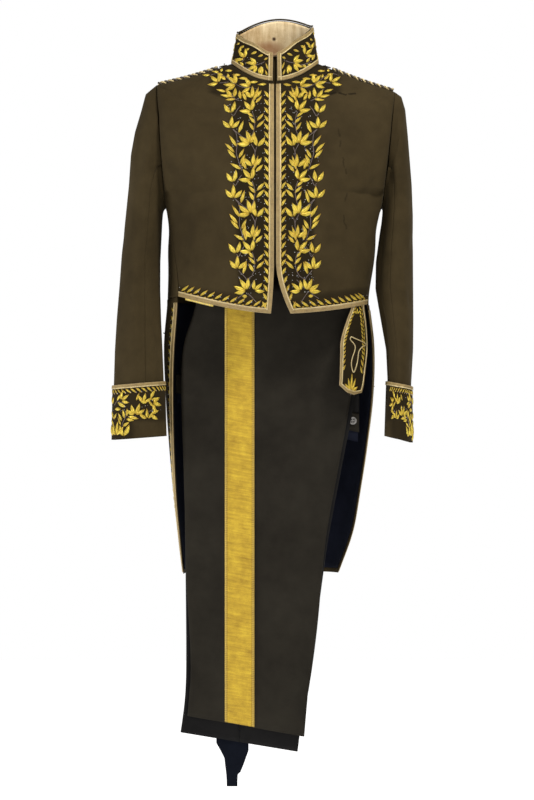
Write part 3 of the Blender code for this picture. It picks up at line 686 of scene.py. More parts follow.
def clothPiece(name, surface, us, vs, wall, material, closed=False, out=0.0, folds=None, centre=centreLine,
               sewn=None):
    # wall of one cloth piece; folds holds what creased takes after the points
    points = asGrid(surface, us[:-1] if closed else us, vs)
    normals = outward(points, centre, closed)
    lift = np.full(points.shape[:2], out)
    if folds:
        lift = lift + creased(points, *folds)
    outer = points + normals * lift[..., None]
    inner = outer - normals * wall
    keepSkin(name, outer)
    whole = [np.concatenate([grid, grid[:, :1]], axis=1) if closed else grid for grid in (outer, normals)]
    grounds[name] = Ground(us, vs, *whole)
    return makeWall(name, outer, inner, material, closed, sewn(outer) if sewn else None)


# Materials


class Value:
    # a shader socket that takes part in plain expressions
    def __init__(self, tree, socket):
        self.tree, self.socket = tree, socket

    def math(self, operation, other=None, swap=False):
        node = self.tree.nodes.new("ShaderNodeMath")
        node.operation = operation
        for place, entry in zip(node.inputs, (other, self) if swap else (self, other)):
            link(self.tree, place, entry)
        return Value(self.tree, node.outputs[0])

    def __add__(self, other):
        return self.math("ADD", other)

    def __sub__(self, other):
        return self.math("SUBTRACT", other)

    def __rsub__(self, other):
        return self.math("SUBTRACT", other, swap=True)

    def __mul__(self, other):
        return self.math("MULTIPLY", other)

    def __pow__(self, other):
        return self.math("POWER", other)

    __radd__ = __add__
    __rmul__ = __mul__

    def wave(self, pitch):
        # from 0 to 1 and back once in each pitch
        return self.ripple(pitch) * 0.5 + 0.5

    def ripple(self, pitch):
        return (self * (2 * math.pi / pitch)).math("SINE")

    def low(self, limit=0.0):
        return self.math("MAXIMUM", limit)

    def high(self, limit=1.0):
        return self.math("MINIMUM", limit)

    def root(self):
        return self.math("SQRT", 0.0)

    def size(self):
        return self.math("ABSOLUTE")


def link(tree, place, entry):
    if isinstance(entry, Value):
        tree.links.new(entry.socket, place)
    elif isinstance(entry, tuple) and place.type == "RGBA":
        place.default_value = (*entry, 1.0)
    elif entry is not None:
        place.default_value = entry


def tinted(color, factor):
    return tuple(factor * part for part in color)


class Shader:
    # one material and its Principled shader; node() adds any other node
    def __init__(self, name, roughness=0.8, metallic=0.0, sheen=0.0, sheenColor=(1, 1, 1), specular=0.5):
        self.material = bpy.data.materials.new(name)
        self.material.use_nodes = True
        self.tree = self.material.node_tree
        self.surface = self.tree.nodes["Principled BSDF"]
        self.set(Roughness=roughness, Metallic=metallic, Sheen_Weight=sheen, Sheen_Roughness=0.45,
                 Sheen_Tint=sheenColor, Specular_IOR_Level=specular)
        self.where = self.node("TexCoord", output=3)

    def set(self, **sockets):
        for key, entry in sockets.items():
            link(self.tree, self.surface.inputs[key.replace("_", " ")], entry)

    def node(self, kind, settings=None, output=0, **sockets):
        node = self.tree.nodes.new("ShaderNode" + kind)
        for key, entry in (settings or {}).items():
            setattr(node, key, entry)
        for key, entry in sockets.items():
            link(self.tree, node.inputs[key.replace("_", " ")], entry)
        return Value(self.tree, node.outputs[output])

    def flat(self):
        return self.node("TexCoord", output=2)

    def noise(self, scale, detail=2.0, roughness=0.5, where=None):
        return self.node("TexNoise", Vector=where or self.where, Scale=scale, Detail=detail,
                         Roughness=roughness)

    def stretched(self, scale, where, detail, roughness):
        # noise drawn out along an axis
        return self.noise(1.0, detail, roughness, self.node("Mapping", Vector=where, Scale=scale))

    def ramp(self, value, *stops):
        color = self.node("ValToRGB", Fac=value)
        ramp = color.socket.node.color_ramp
        while len(ramp.elements) < len(stops):
            ramp.elements.new(0.5)
        for element, (place, tone) in zip(ramp.elements, stops):
            element.position = place
            element.color = (*tone, 1)
        return color

    def mixColor(self, share, first, second):
        node = self.tree.nodes.new("ShaderNodeMix")
        node.data_type = "RGBA"
        for number, entry in ((0, share), (6, first), (7, second)):
            link(self.tree, node.inputs[number], entry)
        return Value(self.tree, node.outputs[2])

    def split(self, where):
        node = self.node("SeparateXYZ", Vector=where).socket.node
        return [Value(self.tree, socket) for socket in node.outputs]

    def finish(self, color, height=None, strength=0.0, distance=0.0, **sockets):
        self.set(Base_Color=color, **sockets)
        if height:
            self.set(Normal=self.node("Bump", Height=height, Strength=strength, Distance=distance))
        return self.material


# Lines of wear on the wearer's left front, as start x and z and end x and z in metres; the darned cuts
# near the shoulder, above wearLevel, are deeper than the rubbed lines below.
wearLines = (
    (0.103, -0.036, 0.113, -0.033), (0.118, -0.034, 0.131, -0.037), (0.136, -0.036, 0.149, -0.034),
    (0.117, -0.104, 0.119, -0.118), (0.121, -0.126, 0.119, -0.136), (0.124, -0.158, 0.127, -0.174),
    (0.131, -0.178, 0.130, -0.186), (0.132, -0.222, 0.128, -0.236), (0.127, -0.262, 0.131, -0.286),
)
wearLevel = -0.05
wearWidth = 0.0024


def wornMarks(shader):
    # depth of wear from 0 to 1
    x, y, z = shader.split(shader.where)
    ragged = shader.noise(260, 3.0, 0.7)
    wander = shader.noise(90, 2.0, 0.6) - 0.5
    x, z = x + wander * 0.009, z + wander * 0.006
    total = None
    for startX, startZ, endX, endZ in wearLines:
        wide, tall = endX - startX, endZ - startZ
        along = (((x - startX) * wide + (z - startZ) * tall) * (1 / (wide * wide + tall * tall))).low().high()
        gap = ((x - startX - along * wide) ** 2 + (z - startZ - along * tall) ** 2).root()
        mark = (1 - gap * (1 / wearWidth)).low() * (1.0 if startZ > wearLevel else 0.45)
        total = mark if total is None else total.low(mark)
    return (total * (y * -60.0).high().low() * (ragged * 2.6)).high()


def clothMaterial(name, dark, light, twill, bumpHeight=0.00012, sheen=0.25, sheenColor=(0.8, 0.7, 0.5),
                  worn=False):
    # wool or silk: twill lines, nap and lint, and painted shade that darkens it where it is embroidered
    shader = Shader(name, 0.82, sheen=sheen, sheenColor=sheenColor, specular=0.06)
    flat = shader.flat()
    u, v, _ = shader.split(flat)
    nap = shader.noise(900, 3.0, 0.7, flat)
    shade = shader.noise(7, 3.0, 0.55) * 0.5 + shader.noise(38, 4.0, 0.6) * 0.3 + nap * 0.2
    color = shader.ramp(shade, (0.38, dark), (0.64, light))
    lint = (shader.noise(420, 1.0, 0.5) - 0.74) * 3.0
    color = shader.mixColor(lint.low(), color, tinted(light, 2.4))
    # painted shade: the wool darkens among the raised embroidery, as far as the sewn attribute reaches
    worked = shader.node("Attribute", {"attribute_name": "sewn"}, output=2)
    color = shader.mixColor(worked * 0.8, color, tinted(dark, 0.38))
    relief = (u + v).wave(twill) * 0.45 + nap * 0.55
    if worn:
        marks = wornMarks(shader)
        color = shader.mixColor(marks * 0.85, color, tinted(dark, 0.22))
        relief = relief - marks * 3.0
    return shader.finish(color, relief, 0.55, bumpHeight, Roughness=nap * 0.15 + 0.74)


def threadMaterial(name, deep, bright, ply=0.00055, roughness=0.42, metallic=0.35, slant=1.0, middleShade=None,
                   selvedge=None):
    # laid threads that run across a leaf at a slant, from the piece's UV map
    shader = Shader(name, roughness, metallic, specular=0.5)
    u, v, _ = shader.split(shader.flat())
    across = u.size()
    threads = (v + across * slant).wave(ply)
    tone = shader.noise(160, 3.0, 0.6)
    shade = threads * 0.24 + tone * 0.46 + shader.noise(22) * 0.30
    middle = tuple(mix(a, b, 0.55) for a, b in zip(deep, bright))
    color = shader.ramp(shade, (0.28, deep), (0.44, middle), (0.66, bright))
    if middleShade:
        # painted shade of a groove down the middle of a leaf
        color = shader.mixColor((1 - across * (1 / 0.00095)).low() * 0.9, color, middleShade)
    if selvedge:
        # paler lines at both edges of a tape
        edge = (u - 0.0037).size().math("GREATER_THAN", 0.0031)
        color = shader.mixColor(edge * 0.8, color, selvedge)
    return shader.finish(color, threads, 0.7, 0.00022, Roughness=tone * 0.2 + roughness - 0.1)


def liningMaterial():
    # worn cream cloth: upright streaks, painted light that brightens it towards the wearer's left, a brown
    # stain low at the middle and one dark spot
    shader = Shader("creamLining", 0.8, specular=0.3)
    x, y, z = shader.split(shader.where)
    patch = shader.noise(26, 4.0, 0.6)
    fine = shader.noise(700)
    streak = shader.stretched((90, 90, 9), shader.where, 3.0, 0.6)
    # x * 1.3 is painted light: the cloth grows paler towards the wearer's left, the side the key lamp lights
    color = shader.ramp(patch * 0.35 + streak * 0.4 + fine * 0.15 + x * 1.3,
                        (0.33, (0.46, 0.32, 0.155)), (0.56, (0.84, 0.70, 0.46)))
    drop = 1 - ((x + 0.012) ** 2 * 900 + (z - 0.060) ** 2 * 3000)
    color = shader.mixColor((drop.low() * patch * 1.9).high(0.8), color, (0.24, 0.095, 0.028))
    gap = ((x + 0.0016) ** 2 + (z - 0.0795) ** 2).root()
    spot = (1.6 - gap * 330).low() * (y * 60).high().low()
    return shader.finish(shader.mixColor(spot, color, (0.05, 0.022, 0.01)), fine, 0.4, 0.0002)


def laceMaterial():
    # woven gilt lace: ribs across, fine pattern, paler selvedges, dull creases
    shader = Shader("giltLace", 0.42, 0.45)
    flat = shader.flat()
    u, v, _ = shader.split(flat)
    ribs, warps = v.wave(0.0011), u.wave(0.0016)
    crinkle = shader.stretched((18, 260, 1), flat, 4.0, 0.65)
    edge = (u - 0.0275).size()
    shade = crinkle * 0.40 + shader.noise(55, 4.0, 0.65) * 0.34 + ribs * warps * 0.26
    color = shader.ramp(shade, (0.24, (0.19, 0.100, 0.006)), (0.44, (0.47, 0.30, 0.018)),
                        (0.70, (0.80, 0.585, 0.055)))
    selvedge = edge.math("GREATER_THAN", 0.0242)
    groove = (edge - 0.0232).size().math("LESS_THAN", 0.0007)
    ticks = (v.ripple(0.0034) - 0.35).low() * edge.math("GREATER_THAN", 0.0222)
    color = shader.mixColor(selvedge * 0.45, color, (0.50, 0.36, 0.11))
    color = shader.mixColor(groove * 0.35, color, (0.13, 0.07, 0.015))
    color = shader.mixColor((ticks * shader.noise(30) * 1.9).high(), color, (0.10, 0.055, 0.01))
    relief = ribs * 0.5 + warps * 0.25 + crinkle * 0.7
    return shader.finish(color, relief, 0.7, 0.0004, Roughness=crinkle * 0.3 + 0.30)


def metalMaterial(name, dark, light, roughness):
    shader = Shader(name, roughness, 1.0)
    wear = shader.noise(260, 4.0, 0.6)
    color = shader.ramp(wear, (0.35, dark), (0.62, light))
    return shader.finish(color, Roughness=wear * 0.35 + roughness - 0.1)


def hornMaterial():
    shader = Shader("greyHorn", 0.4)
    wear = shader.noise(300, 3.0, 0.6)
    return shader.finish(shader.ramp(wear, (0.3, (0.12, 0.115, 0.11)), (0.7, (0.30, 0.29, 0.28))))


coatWool = clothMaterial("coatWool", (0.028, 0.0198, 0.0086), (0.046, 0.0332, 0.0148), 0.0016, sheen=0.03,
                         worn=True)
trouserWool = clothMaterial("trouserWool", (0.0125, 0.0108, 0.0082), (0.0218, 0.0192, 0.0145), 0.0013,
                            sheen=0.015)
# darker copy of the trouser wool for the far leg: painted shadow cast by the near leg
shadowedTrouserWool = clothMaterial("shadowedTrouserWool", (0.0062, 0.0060, 0.0062), (0.0112, 0.0108, 0.0110), 0.0013,
                          sheen=0.015)
navySilk = clothMaterial("navySilk", (0.0045, 0.0055, 0.011), (0.011, 0.013, 0.024), 0.0009, 0.00006, 0.02,
                         (0.5, 0.6, 0.9))
webbing = clothMaterial("webbing", (0.0015, 0.0021, 0.0045), (0.004, 0.0055, 0.0105), 0.0018, 0.0003, 0.0)
# the darker line down each leaf's middle is painted shade
goldThread = threadMaterial("goldThread", (0.42, 0.26, 0.012), (0.98, 0.80, 0.11), middleShade=(0.32, 0.13, 0.006))
paleGold = threadMaterial("paleGold", (0.34, 0.25, 0.10), (0.80, 0.66, 0.36), 0.0011, 0.45, 0.3)
tapeSilk = threadMaterial("tapeSilk", (0.12, 0.08, 0.033), (0.36, 0.255, 0.095), 0.0008, 0.6, 0.0, 0.0,
                          selvedge=(0.42, 0.32, 0.17))
stemSilk = threadMaterial("stemSilk", (0.085, 0.06, 0.055), (0.22, 0.175, 0.165), 0.0009, 0.6, 0.0)
darkCord = threadMaterial("darkCord", (0.02, 0.015, 0.012), (0.10, 0.08, 0.06), 0.0012, 0.6, 0.0)
creamLining = liningMaterial()
giltLace = laceMaterial()
darkMetal = metalMaterial("darkMetal", (0.03, 0.025, 0.02), (0.14, 0.11, 0.07), 0.45)
silverMetal = metalMaterial("silverMetal", (0.30, 0.30, 0.32), (0.72, 0.72, 0.76), 0.35)
greyHorn = hornMaterial()
print("materials made")


# Coat

# Creases of each piece: start, end, width and depth
frontCreases = (
    (205, -60, -70, 150, -105, -190, 15, 4.2), (196, -60, -120, 168, -95, -250, 11, 3.4),
    (130, -105, -200, 118, -110, -400, 24, 3.2), (170, -70, -330, 100, -110, -300, 18, -2.2),
    (175, -60, -400, 160, -80, -280, 13, 3.0),
)
backCreases = (
    (190, 60, -90, 110, 105, -170, 16, 2.2), (60, 108, -230, 40, 100, -400, 22, 1.6),
    (120, 95, -300, 30, 104, -330, 16, 1.3),
)
tailCreases = (
    (110, 80, -440, 100, 84, -900, 22, 2.6), (160, 50, -470, 140, 60, -880, 18, 2.0),
    (50, 98, -430, 60, 92, -760, 20, 1.8),
)
sleeveMiddle = {"right": 245, "left": 225}
sleeveCreases = (
    (-12, -70, -60, 12, -66, -190, 14, 5.0), (-30, -50, -110, 5, -70, -260, 10, 3.6),
    (10, -70, -250, 4, -60, -420, 14, 3.8), (40, -20, -300, -20, -70, -350, 11, 4.0),
    (-35, -40, -390, 30, -62, -420, 12, 3.2), (-20, -60, -450, 20, -70, -540, 12, 3.0),
)
sleeveEdges = {
    "left": ((-24, -40, -230, -22, -60, -600, 10, 4.0), (11, -72, -330, 11, -78, -600, 9, -2.2)),
    "right": ((17, -66, -200, 5, -78, -560, 12, -2.6), (-23, -50, -330, -31, -60, -590, 10, 3.4)),
}
sleeveBackCreases = ((-20, 60, -80, 12, 66, -240, 16, 3.0), (30, 40, -320, -20, 50, -380, 14, 2.4))
legCreases = (
    (-150, -40, -520, 60, -40, -600, 12, 0.8), (120, -40, -470, 20, -40, -640, 16, 0.9),
    (-160, -40, -800, 60, -40, -860, 22, 0.6), (-200, -40, -1120, 90, -40, -1152, 6, 1.0),
    (60, -40, -1000, -150, -40, -1050, 20, 0.6),
)
tailArea = {"right": (0.133, 0.120), "left": (0.103, 0.093)}   # square metres of cloth and lining that show
sleeveArea = {"right": 0.114, "left": 0.106}


# The embroidered grounds' reaches, where the wool gets painted shade, and how far their edges fade
worked = {"reach": 84, "narrower": 14, "wider": 40, "foot": -412, "hem": 25, "edge": 8, "hemShade": 0.8}
cuffShade = {"down": 78, "fold": 46, "shade": 0.85}


def fade(values, over):
    return np.clip(values / over, 0, 1)


def vineShadeGround(points):
    # painted shade over the closely worked ground of the vine, wider at the shoulder branch, and over the hem
    across, z = np.abs(points[..., 0]), points[..., 2]
    reach = worked["reach"] - worked["narrower"] * fade(-z - 60, 340) + fade(z + 48, 16) * worked["wider"]
    vinePart = fade(reach - across, 7) * fade(z - worked["foot"], worked["edge"])
    hem = z - np.interp(across, (0, 180), (-440, -412))
    return np.maximum(vinePart, fade(worked["hem"] - hem, worked["edge"]) * worked["hemShade"])


def allShadeGround(points):
    # painted shade over the whole piece, which is worked all over
    return np.ones(points.shape[:2])


def cuffShadeGround(points):
    # painted shade where the cuff is worked: at the top, and down the outer fold
    z, x = points[..., 2], np.abs(points[..., 0])
    top = fade(z - (z.max() - cuffShade["down"]), worked["edge"])
    fold = fade(x - (x.max() - cuffShade["fold"]), worked["edge"])
    return np.maximum(top, fold) * cuffShade["shade"]


def sleeveAxis(side):
    def axis(points):
        rows = [sleeveRow(side, share) for share in linear(40)]
        places = np.array([[sides[side] * (r["outer_x"] + r["inner_x"]) / 2, r["y"],
                            (r["outer_z"] + r["inner_z"]) / 2] for r in rows])
        flat = points.reshape(-1, 1, 3)
        nearest = np.argmin(((flat - places[None]) ** 2).sum(axis=2), axis=1)
        return places[nearest].reshape(points.shape)
    return axis


def wool(name, surface, us, vs, node, flat, area, held="draped", **how):
    # one piece of the coat's broadcloth
    piece = clothPiece(name, surface, us, vs, how.pop("wall", clothWall), coatWool, **how)
    return settle(piece, "broadcloth", node, flat=flat, held=held, area=area)


def buildBody():
    for side, sign in sides.items():
        wool("front_cloth_" + side, partial(frontPoint, side), linear(64), linear(84), "front_" + side,
             (0.30, 0.52), 0.102, folds=(frontCreases, sign), sewn=vineShadeGround)
        wool("back_cloth_" + side, partial(backPoint, side), linear(44, -0.003, 1.0), linear(72),
             "back_" + side, (0.26, 0.52), 0.095, folds=(backCreases, sign))
        wool("side_cloth_" + side, partial(sidePoint, side), linear(28), linear(36), "side_body_" + side,
             (0.18, 0.23), 0.026)
        shown, lined = tailArea[side]
        wool("tail_cloth_" + side, partial(tailPoint, side), linear(48), linear(60), "tail_" + side,
             (0.30, 0.52), shown, "hung", folds=(tailCreases, sign))
        lining = clothPiece("tail_silk_" + side, partial(tailPoint, side), linear(40, 0.045, 0.98),
                            linear(50, -0.004, 0.985), liningWall, navySilk, out=-(clothWall + 3 * seamGap),
                            folds=(tailCreases, sign))
        settle(lining, "navy_lining", "tail_lining_" + side, flat=(0.28, 0.50), held="hung", area=lined)
    print("coat body made")


def buildSleeves():
    seam, gap = sleeveSeam / 360, 0.0006
    for side, sign in sides.items():
        how = {"folds": (sleeveCreases + sleeveEdges[side] + sleeveBackCreases, sign, sleeveMiddle[side]),
               "centre": sleeveAxis(side)}
        surface = partial(sleevePoint, side)
        wool("sleeve_top_cloth_" + side, surface, linear(60, gap - seam, seam - gap), linear(110),
             "sleeve_top_" + side, (0.22, 0.68), sleeveArea[side], **how)
        wool("sleeve_under_cloth_" + side, surface, linear(40, seam + gap, 1 - seam - gap), linear(110),
             "sleeve_under_" + side, (0.15, 0.56), 0.06, **how)
        start = cuffStart / (len(sleeveRows[side]) - 1) + 0.002
        wool("cuff_cloth_" + side, surface, linear(96), linear(24, start, 1.0), "cuff_" + side, (0.31, 0.115),
             0.030, "stretched", closed=True, out=2 * seamGap + clothWall, sewn=cuffShadeGround, **how)
    print("sleeves made")


def buildCollar():
    neckLine = partial(centreLine, depth=neckY)
    wool("collar_cloth", collarPoint, linear(150), linear(16), "collar", (0.46, 0.075), 0.028, "stretched",
         wall=collarWall, centre=neckLine, sewn=allShadeGround)
    lining = clothPiece("collar_canvas", collarPoint, linear(150, 0.016, 0.984), linear(14, -0.06, 0.985),
                        liningWall, creamLining, out=-(collarWall + 2 * seamGap), centre=neckLine)
    settle(lining, "cream_lining", "collar_lining", flat=(0.44, 0.075), held="stretched", area=0.0265)
    print("collar made")


def buildFrog():
    wool("frog_cloth", frogPoint, linear(20), linear(50), "sword_frog", (0.065, 0.20), 0.012, "hung",
         sewn=allShadeGround)
    print("frog made")


# Trousers


def legLift(points):
    # creases and soft waves of the nearer leg
    x, z = points[..., 0], points[..., 2]
    soft = 1.3 * np.sin(x / 27.0 + 0.6 * np.sin(z / 130.0) + 0.8) + 0.9 * np.sin(x / 11.5 + z / 260.0)
    return (creased(points, legCreases) + soft) * 0.8


def surfaceArea(points):
    points = points * mm
    p, q = points[1:, 1:] - points[:-1, :-1], points[1:, :-1] - points[:-1, 1:]
    return float(np.linalg.norm(np.cross(p, q), axis=2).sum() / 2)


def crinkle(points):
    # shallow cross ripples of the woven lace, uneven in height and spacing
    x, z = points[..., 0], points[..., 2]
    wave = np.sin(z * 0.21 + 2 * np.sin(z * 0.037)) * 0.5 + np.sin(z * 0.093 + x * 0.05 + 1.0) * 0.5
    return 0.35 * wave * (0.6 + 0.4 * np.sin(z * 0.017)) + 0.35


def stripePoint(side, out, x, path):
    centre, normal = legRow(side, path, x)
    point = centre + normal * outerFace[side] * (legHalf + out)
    return x, point.y, point.z


def bandWall(name, side, rows, outs, material):
    turns = linear(96)[:-1]
    faces = [asGrid(partial(waistbandPoint, side, out=out), turns, rows) for out in outs]
    return makeWall(name, *faces, material, closed=True)


def buildLeg(side, part):
    paths = linear(110) + linear(24, 1.03, 1.97) + linear(40, 2.0, 3.0)
    turns = sorted(set([n / 20 for n in range(-20, 21)] + [n / 60 for n in range(-18, 19)]))
    outer, inner = (asGrid(partial(legPoint, side, part, out=out), turns, paths) for out in (0.0, -clothWall))
    if side == "left":
        lift = unit(outer - inner) * legLift(outer)[..., None]
        outer, inner = outer + lift, inner + lift
    name = f"leg_{part}_cloth_{side}"
    keepSkin(name, outer)
    # the far leg takes the darker wool, a painted shadow of the near leg
    leg = makeWall(name, outer, inner, trouserWool if side == "left" else shadowedTrouserWool)
    wide = 0.25 if part == "front" else 0.40
    area = surfaceArea(outer)
    settle(leg, "trouser_cloth", f"leg_{part}_{side}", held="folded", area=area,
           flat=(round(area / 0.9 / wide, 3) + 0.2, wide + 0.1))


def buildTrousers():
    for side in sides:
        buildLeg(side, "front")
        buildLeg(side, "back")
        band = bandWall("waistband_cloth_" + side, side, linear(6), (0.0, -clothWall), trouserWool)
        settle(band, "trouser_cloth", "waistband_" + side, flat=(0.70, 0.036), held="folded")
        paths = linear(140, 0.002, 1.0) + linear(20, 1.04, 1.96) + linear(24, 2.0, 2.985)
        across = linear(12, outseamX - stripeWidth / 2, outseamX + stripeWidth / 2)
        outer, inner = (asGrid(partial(stripePoint, side, out), across, paths)
                        for out in (seamGap + stripeWall, seamGap))
        if side == "left":
            outer[..., 1] -= crinkle(outer)
        stripe = makeWall("stripe_lace_" + side, outer, inner, giltLace)
        settle(stripe, "gold_lace", "stripe_" + side, held="folded",
               flat=(stripeWidth * mm, round(surfaceArea(outer) / (stripeWidth * mm), 3)))
    inside = -clothWall - seamGap
    lining = bandWall("waistband_silk", "right", linear(8, -0.5, 0.9), (inside, inside - liningWall),
                      navySilk)
    settle(lining, "navy_lining", "waistband_lining", flat=(0.68, 0.05), held="folded")
    print("trousers made")


buildBody()
buildSleeves()
buildCollar()
buildFrog()
buildTrousers()


# Trims: tape with a cord, and loose cords


def runAlong(points):
    return np.concatenate([[0], np.cumsum(np.linalg.norm(np.diff(points, axis=0), axis=1))])


def roundLine(points):
    # two directions square to a line, all along it
    along = unit(np.gradient(points, axis=0))
    first = unit(np.cross(along, (0.13, 0.91, 0.39)))
    return first, np.cross(along, first)


def tube(points, radius, sides=6):
    # corner points, faces and flat places of a closed round cord
    points = np.asarray(points, float)
    first, second = roundLine(points)
    turns = np.arange(sides) * 2 * math.pi / sides
    rings = (points[:, None] + radius * (np.cos(turns)[None, :, None] * first[:, None]
                                         + np.sin(turns)[None, :, None] * second[:, None]))
    corners = [tuple(spot) for spot in rings.reshape(-1, 3)]
    flats = [(turn / (2 * math.pi) * 0.01, distance * mm) for distance in runAlong(points) for turn in turns]
    last = (len(points) - 1) * sides
    faces = []
    for low in range(0, last, sides):
        for step in range(sides):
            a, b = low + step, low + (step + 1) % sides
            faces.append((a, b, b + sides, a + sides))
    faces.append(tuple(range(sides - 1, -1, -1)))
    faces.append(tuple(last + step for step in range(sides)))
    return corners, faces, flats


def joined(name, parts, materials):
    # one mesh from (corners, faces, flats, material number) groups, corners in millimetres
    corners, faces, flats, kinds = [], [], [], []
    for partCorners, partFaces, partFlats, kind in parts:
        start = len(corners)
        corners += [tuple(value * mm for value in corner) for corner in partCorners]
        faces += [tuple(start + number for number in face) for face in partFaces]
        flats += list(partFlats)
        kinds += [kind] * len(partFaces)
    mesh = bpy.data.meshes.new(name)
    mesh.from_pydata(corners, [], faces)
    mesh.polygons.foreach_set("material_index", np.array(kinds, dtype=np.int32))
    work = bmesh.new()
    work.from_mesh(mesh)
    bmesh.ops.recalc_face_normals(work, faces=work.faces)
    work.to_mesh(mesh)
    work.free()
    loops = np.zeros(len(mesh.loops), dtype=np.int32)
    mesh.loops.foreach_get("vertex_index", loops)
    return finishMesh(name, mesh, np.array(flats)[loops], materials)


def cordPiece(name, points, radius, material):
    return joined(name, [(*tube(points, radius), 0)], [material])


def twisted(name, points, radius, pitch, materials):
    # strands laid round each other along a line; each strand has its own material
    points = np.asarray(points, float)
    run = runAlong(points)
    where = np.linspace(0, run[-1], int(run[-1] / pitch * 12))
    line = np.stack([np.interp(where, run, points[:, axis]) for axis in range(3)], axis=1)
    first, second = roundLine(line)
    parts = []
    for number in range(len(materials)):
        turn = where / pitch * 2 * math.pi + number * 2 * math.pi / len(materials)
        strand = line + radius * (np.cos(turn)[:, None] * first + np.sin(turn)[:, None] * second)
        parts.append((*tube(strand, radius * 1.08), number))
    return joined(name, parts, materials)


# The tape's section as shares of its width and heights above the cloth, and the cord beside it
piping = {
    "width": 7.4, "cordRadius": 1.05, "under": 0.05,
    "profile": ((0.0, 0.35), (0.12, 1.15), (0.42, 1.35), (0.5, 0.95), (0.58, 1.35), (0.9, 1.2), (1.0, 0.4)),
}
tapeWidth = {"collar": 6.0, "frog": 4.6, "right": 5.4, "left": 4.8}   # the sides' are the cuffs'


def pipe(name, clothName, node, stations, width=piping["width"]):
    # tape along an edge and a pale cord at the tape's inner side; stations are (u, v, inU, inV)
    cloth = grounds[clothName]

    def inside(station, distance, height):
        u, v, inU, inV = station
        wide, tall = cloth.scale(u, v)
        return cloth.at(u + inU * distance / wide, v + inV * distance / tall, height)

    outer, inner = (np.array([[inside(station, share * width, height if under is None else under)
                               for share, height in piping["profile"]] for station in stations])
                    for under in (None, piping["under"]))
    settle(makeWall(name + "_tape", outer, inner, tapeSilk), "edge_braid", node)
    radius = piping["cordRadius"]
    line = [inside(station, width + radius * 0.9, radius * 0.8) for station in stations]
    settle(cordPiece(name + "_cord", line, radius, paleGold), "edge_braid")


def buildPiping():
    for side in sides:
        down = [(0.0, 0.985 * (1 - n / 80), 1, 0) for n in range(80)]
        hem = [(0.0, 0.0, 1, 1)] + [(n / 70, 0.0, 0, 1) for n in range(2, 71)]
        pipe("front_piping_" + side, "front_cloth_" + side, "front_braid_" + side, down + hem)
        pipe("tail_piping_" + side, "tail_cloth_" + side, "tail_braid_" + side,
             [(0.0, 0.02 + 0.975 * n / 80, 1, 0) for n in range(81)])
        cuff = grounds["cuff_cloth_" + side]
        pipe("cuff_piping_" + side, "cuff_cloth_" + side, "cuff_braid_" + side,
             [(n / 95 * cuff.us[-1], cuff.vs[0], 0, 1) for n in range(96)], tapeWidth[side])
    base = [(0.003 + 0.994 * n / 120, 0.0, 0, 1) for n in range(121)]
    pipe("collar_base_piping", "collar_cloth", "collar_base_braid", base, tapeWidth["collar"])
    up = [(0.0, n / 14 * 0.93, 1, 0) for n in range(15)] + [(0.0, 1.0, 1, -1)]
    over = [(0.02 + 0.96 * n / 130, 1.0, 0, -1) for n in range(131)]
    down = [(1.0, 1.0, -1, -1)] + [(1.0, 0.93 - n / 14 * 0.93, -1, 0) for n in range(15)]
    pipe("collar_piping", "collar_cloth", "collar_braid", up + over + down, tapeWidth["collar"])
    left = [(0.0, 0.02 + n / 40 * 0.92, 1, 0) for n in range(41)]
    foot = [(0.0, 1.0, 1, -1), (0.35, 1.0, 0, -1), (0.65, 1.0, 0, -1), (1.0, 1.0, -1, -1)]
    right = [(1.0, 0.94 - n / 40 * 0.92, -1, 0) for n in range(41)]
    pipe("frog_piping", "frog_cloth", "frog_braid", left + foot + right, tapeWidth["frog"])
    print("piping sewn on")


# The frog's slot as shares of the frog's breadth and heights, and how much lower the cord lies
slotChart = ((0.36, -486), (0.92, -500), (0.78, -508), (0.67, -518), (0.64, -537), (0.53, -547), (0.42, -537),
             (0.52, -515), (0.51, -503), (0.34, -492), (0.36, -486))
slotDrop = 9.5
slotFoot = -585.0
# Each cord's start and end as shares of its seam or edge, how far above it the cord lies, and its radius
shoulderCord = {"start": 0.01, "end": 0.81, "above": 2.6, "radius": 1.8, "pitch": 15.0}
hemCord = {"start": 0.50, "end": 0.86, "above": -1.9, "radius": 0.95, "pitch": 5.0}
rearEdge = {"start": 0.235, "end": 0.765, "above": 2.6, "inside": 1.2, "radius": 1.7}
slotCord = {"above": 0.8, "radius": 1.0}


def cordPath(surface, plan, count):
    shares = linear(count, plan["start"], plan["end"])
    return [tuple(surface(share) + upward * plan["above"]) for share in shares]


def buildCords():
    for side in sides:
        line = cordPath(partial(shoulder, side), shoulderCord, 30)
        cord = twisted("shoulder_twist_" + side, line, shoulderCord["radius"], shoulderCord["pitch"],
                       [darkCord, paleGold])
        settle(cord, "edge_braid", "shoulder_cord_" + side)
    line = cordPath(lambda u: frontPoint("right", u, 0.0), hemCord, 30)
    cord = twisted("hem_twist_right", line, hemCord["radius"], hemCord["pitch"], [goldThread, paleGold])
    settle(cord, "gold_lace", "hem_cord_right")
    high = frogRows[0]["height"]
    line = [grounds["frog_cloth"].at(share, (height - slotDrop - high) / (slotFoot - high), slotCord["above"])
            for share, height in smoothLine(slotChart)]
    settle(cordPiece("frog_slot_edge", line, slotCord["radius"], paleGold), "edge_braid", "frog_slot_cord")
    line = cordPath(lambda u: grounds["collar_cloth"].at(u, 1.0, -rearEdge["inside"]), rearEdge, 60)
    settle(cordPiece("collar_rear_edge", line, rearEdge["radius"], coatWool), "broadcloth", "collar")
    print("cords laid")


def smoothLine(points, parts=5):
    # soft curve through given points
    points = np.array(points, float)
    wide = np.concatenate([[2 * points[0] - points[1]], points, [2 * points[-1] - points[-2]]])
    line = []
    for a, b, c, d in zip(wide, wide[1:], wide[2:], wide[3:]):
        for t in np.arange(parts) / parts:
            line.append(0.5 * (2 * b + (c - a) * t + (2 * a - 5 * b + 4 * c - d) * t * t
                               + (3 * b - a - 3 * c + d) * t ** 3))
    return line + [points[-1]]


buildPiping()
buildCords()


# Gold leaf embroidery

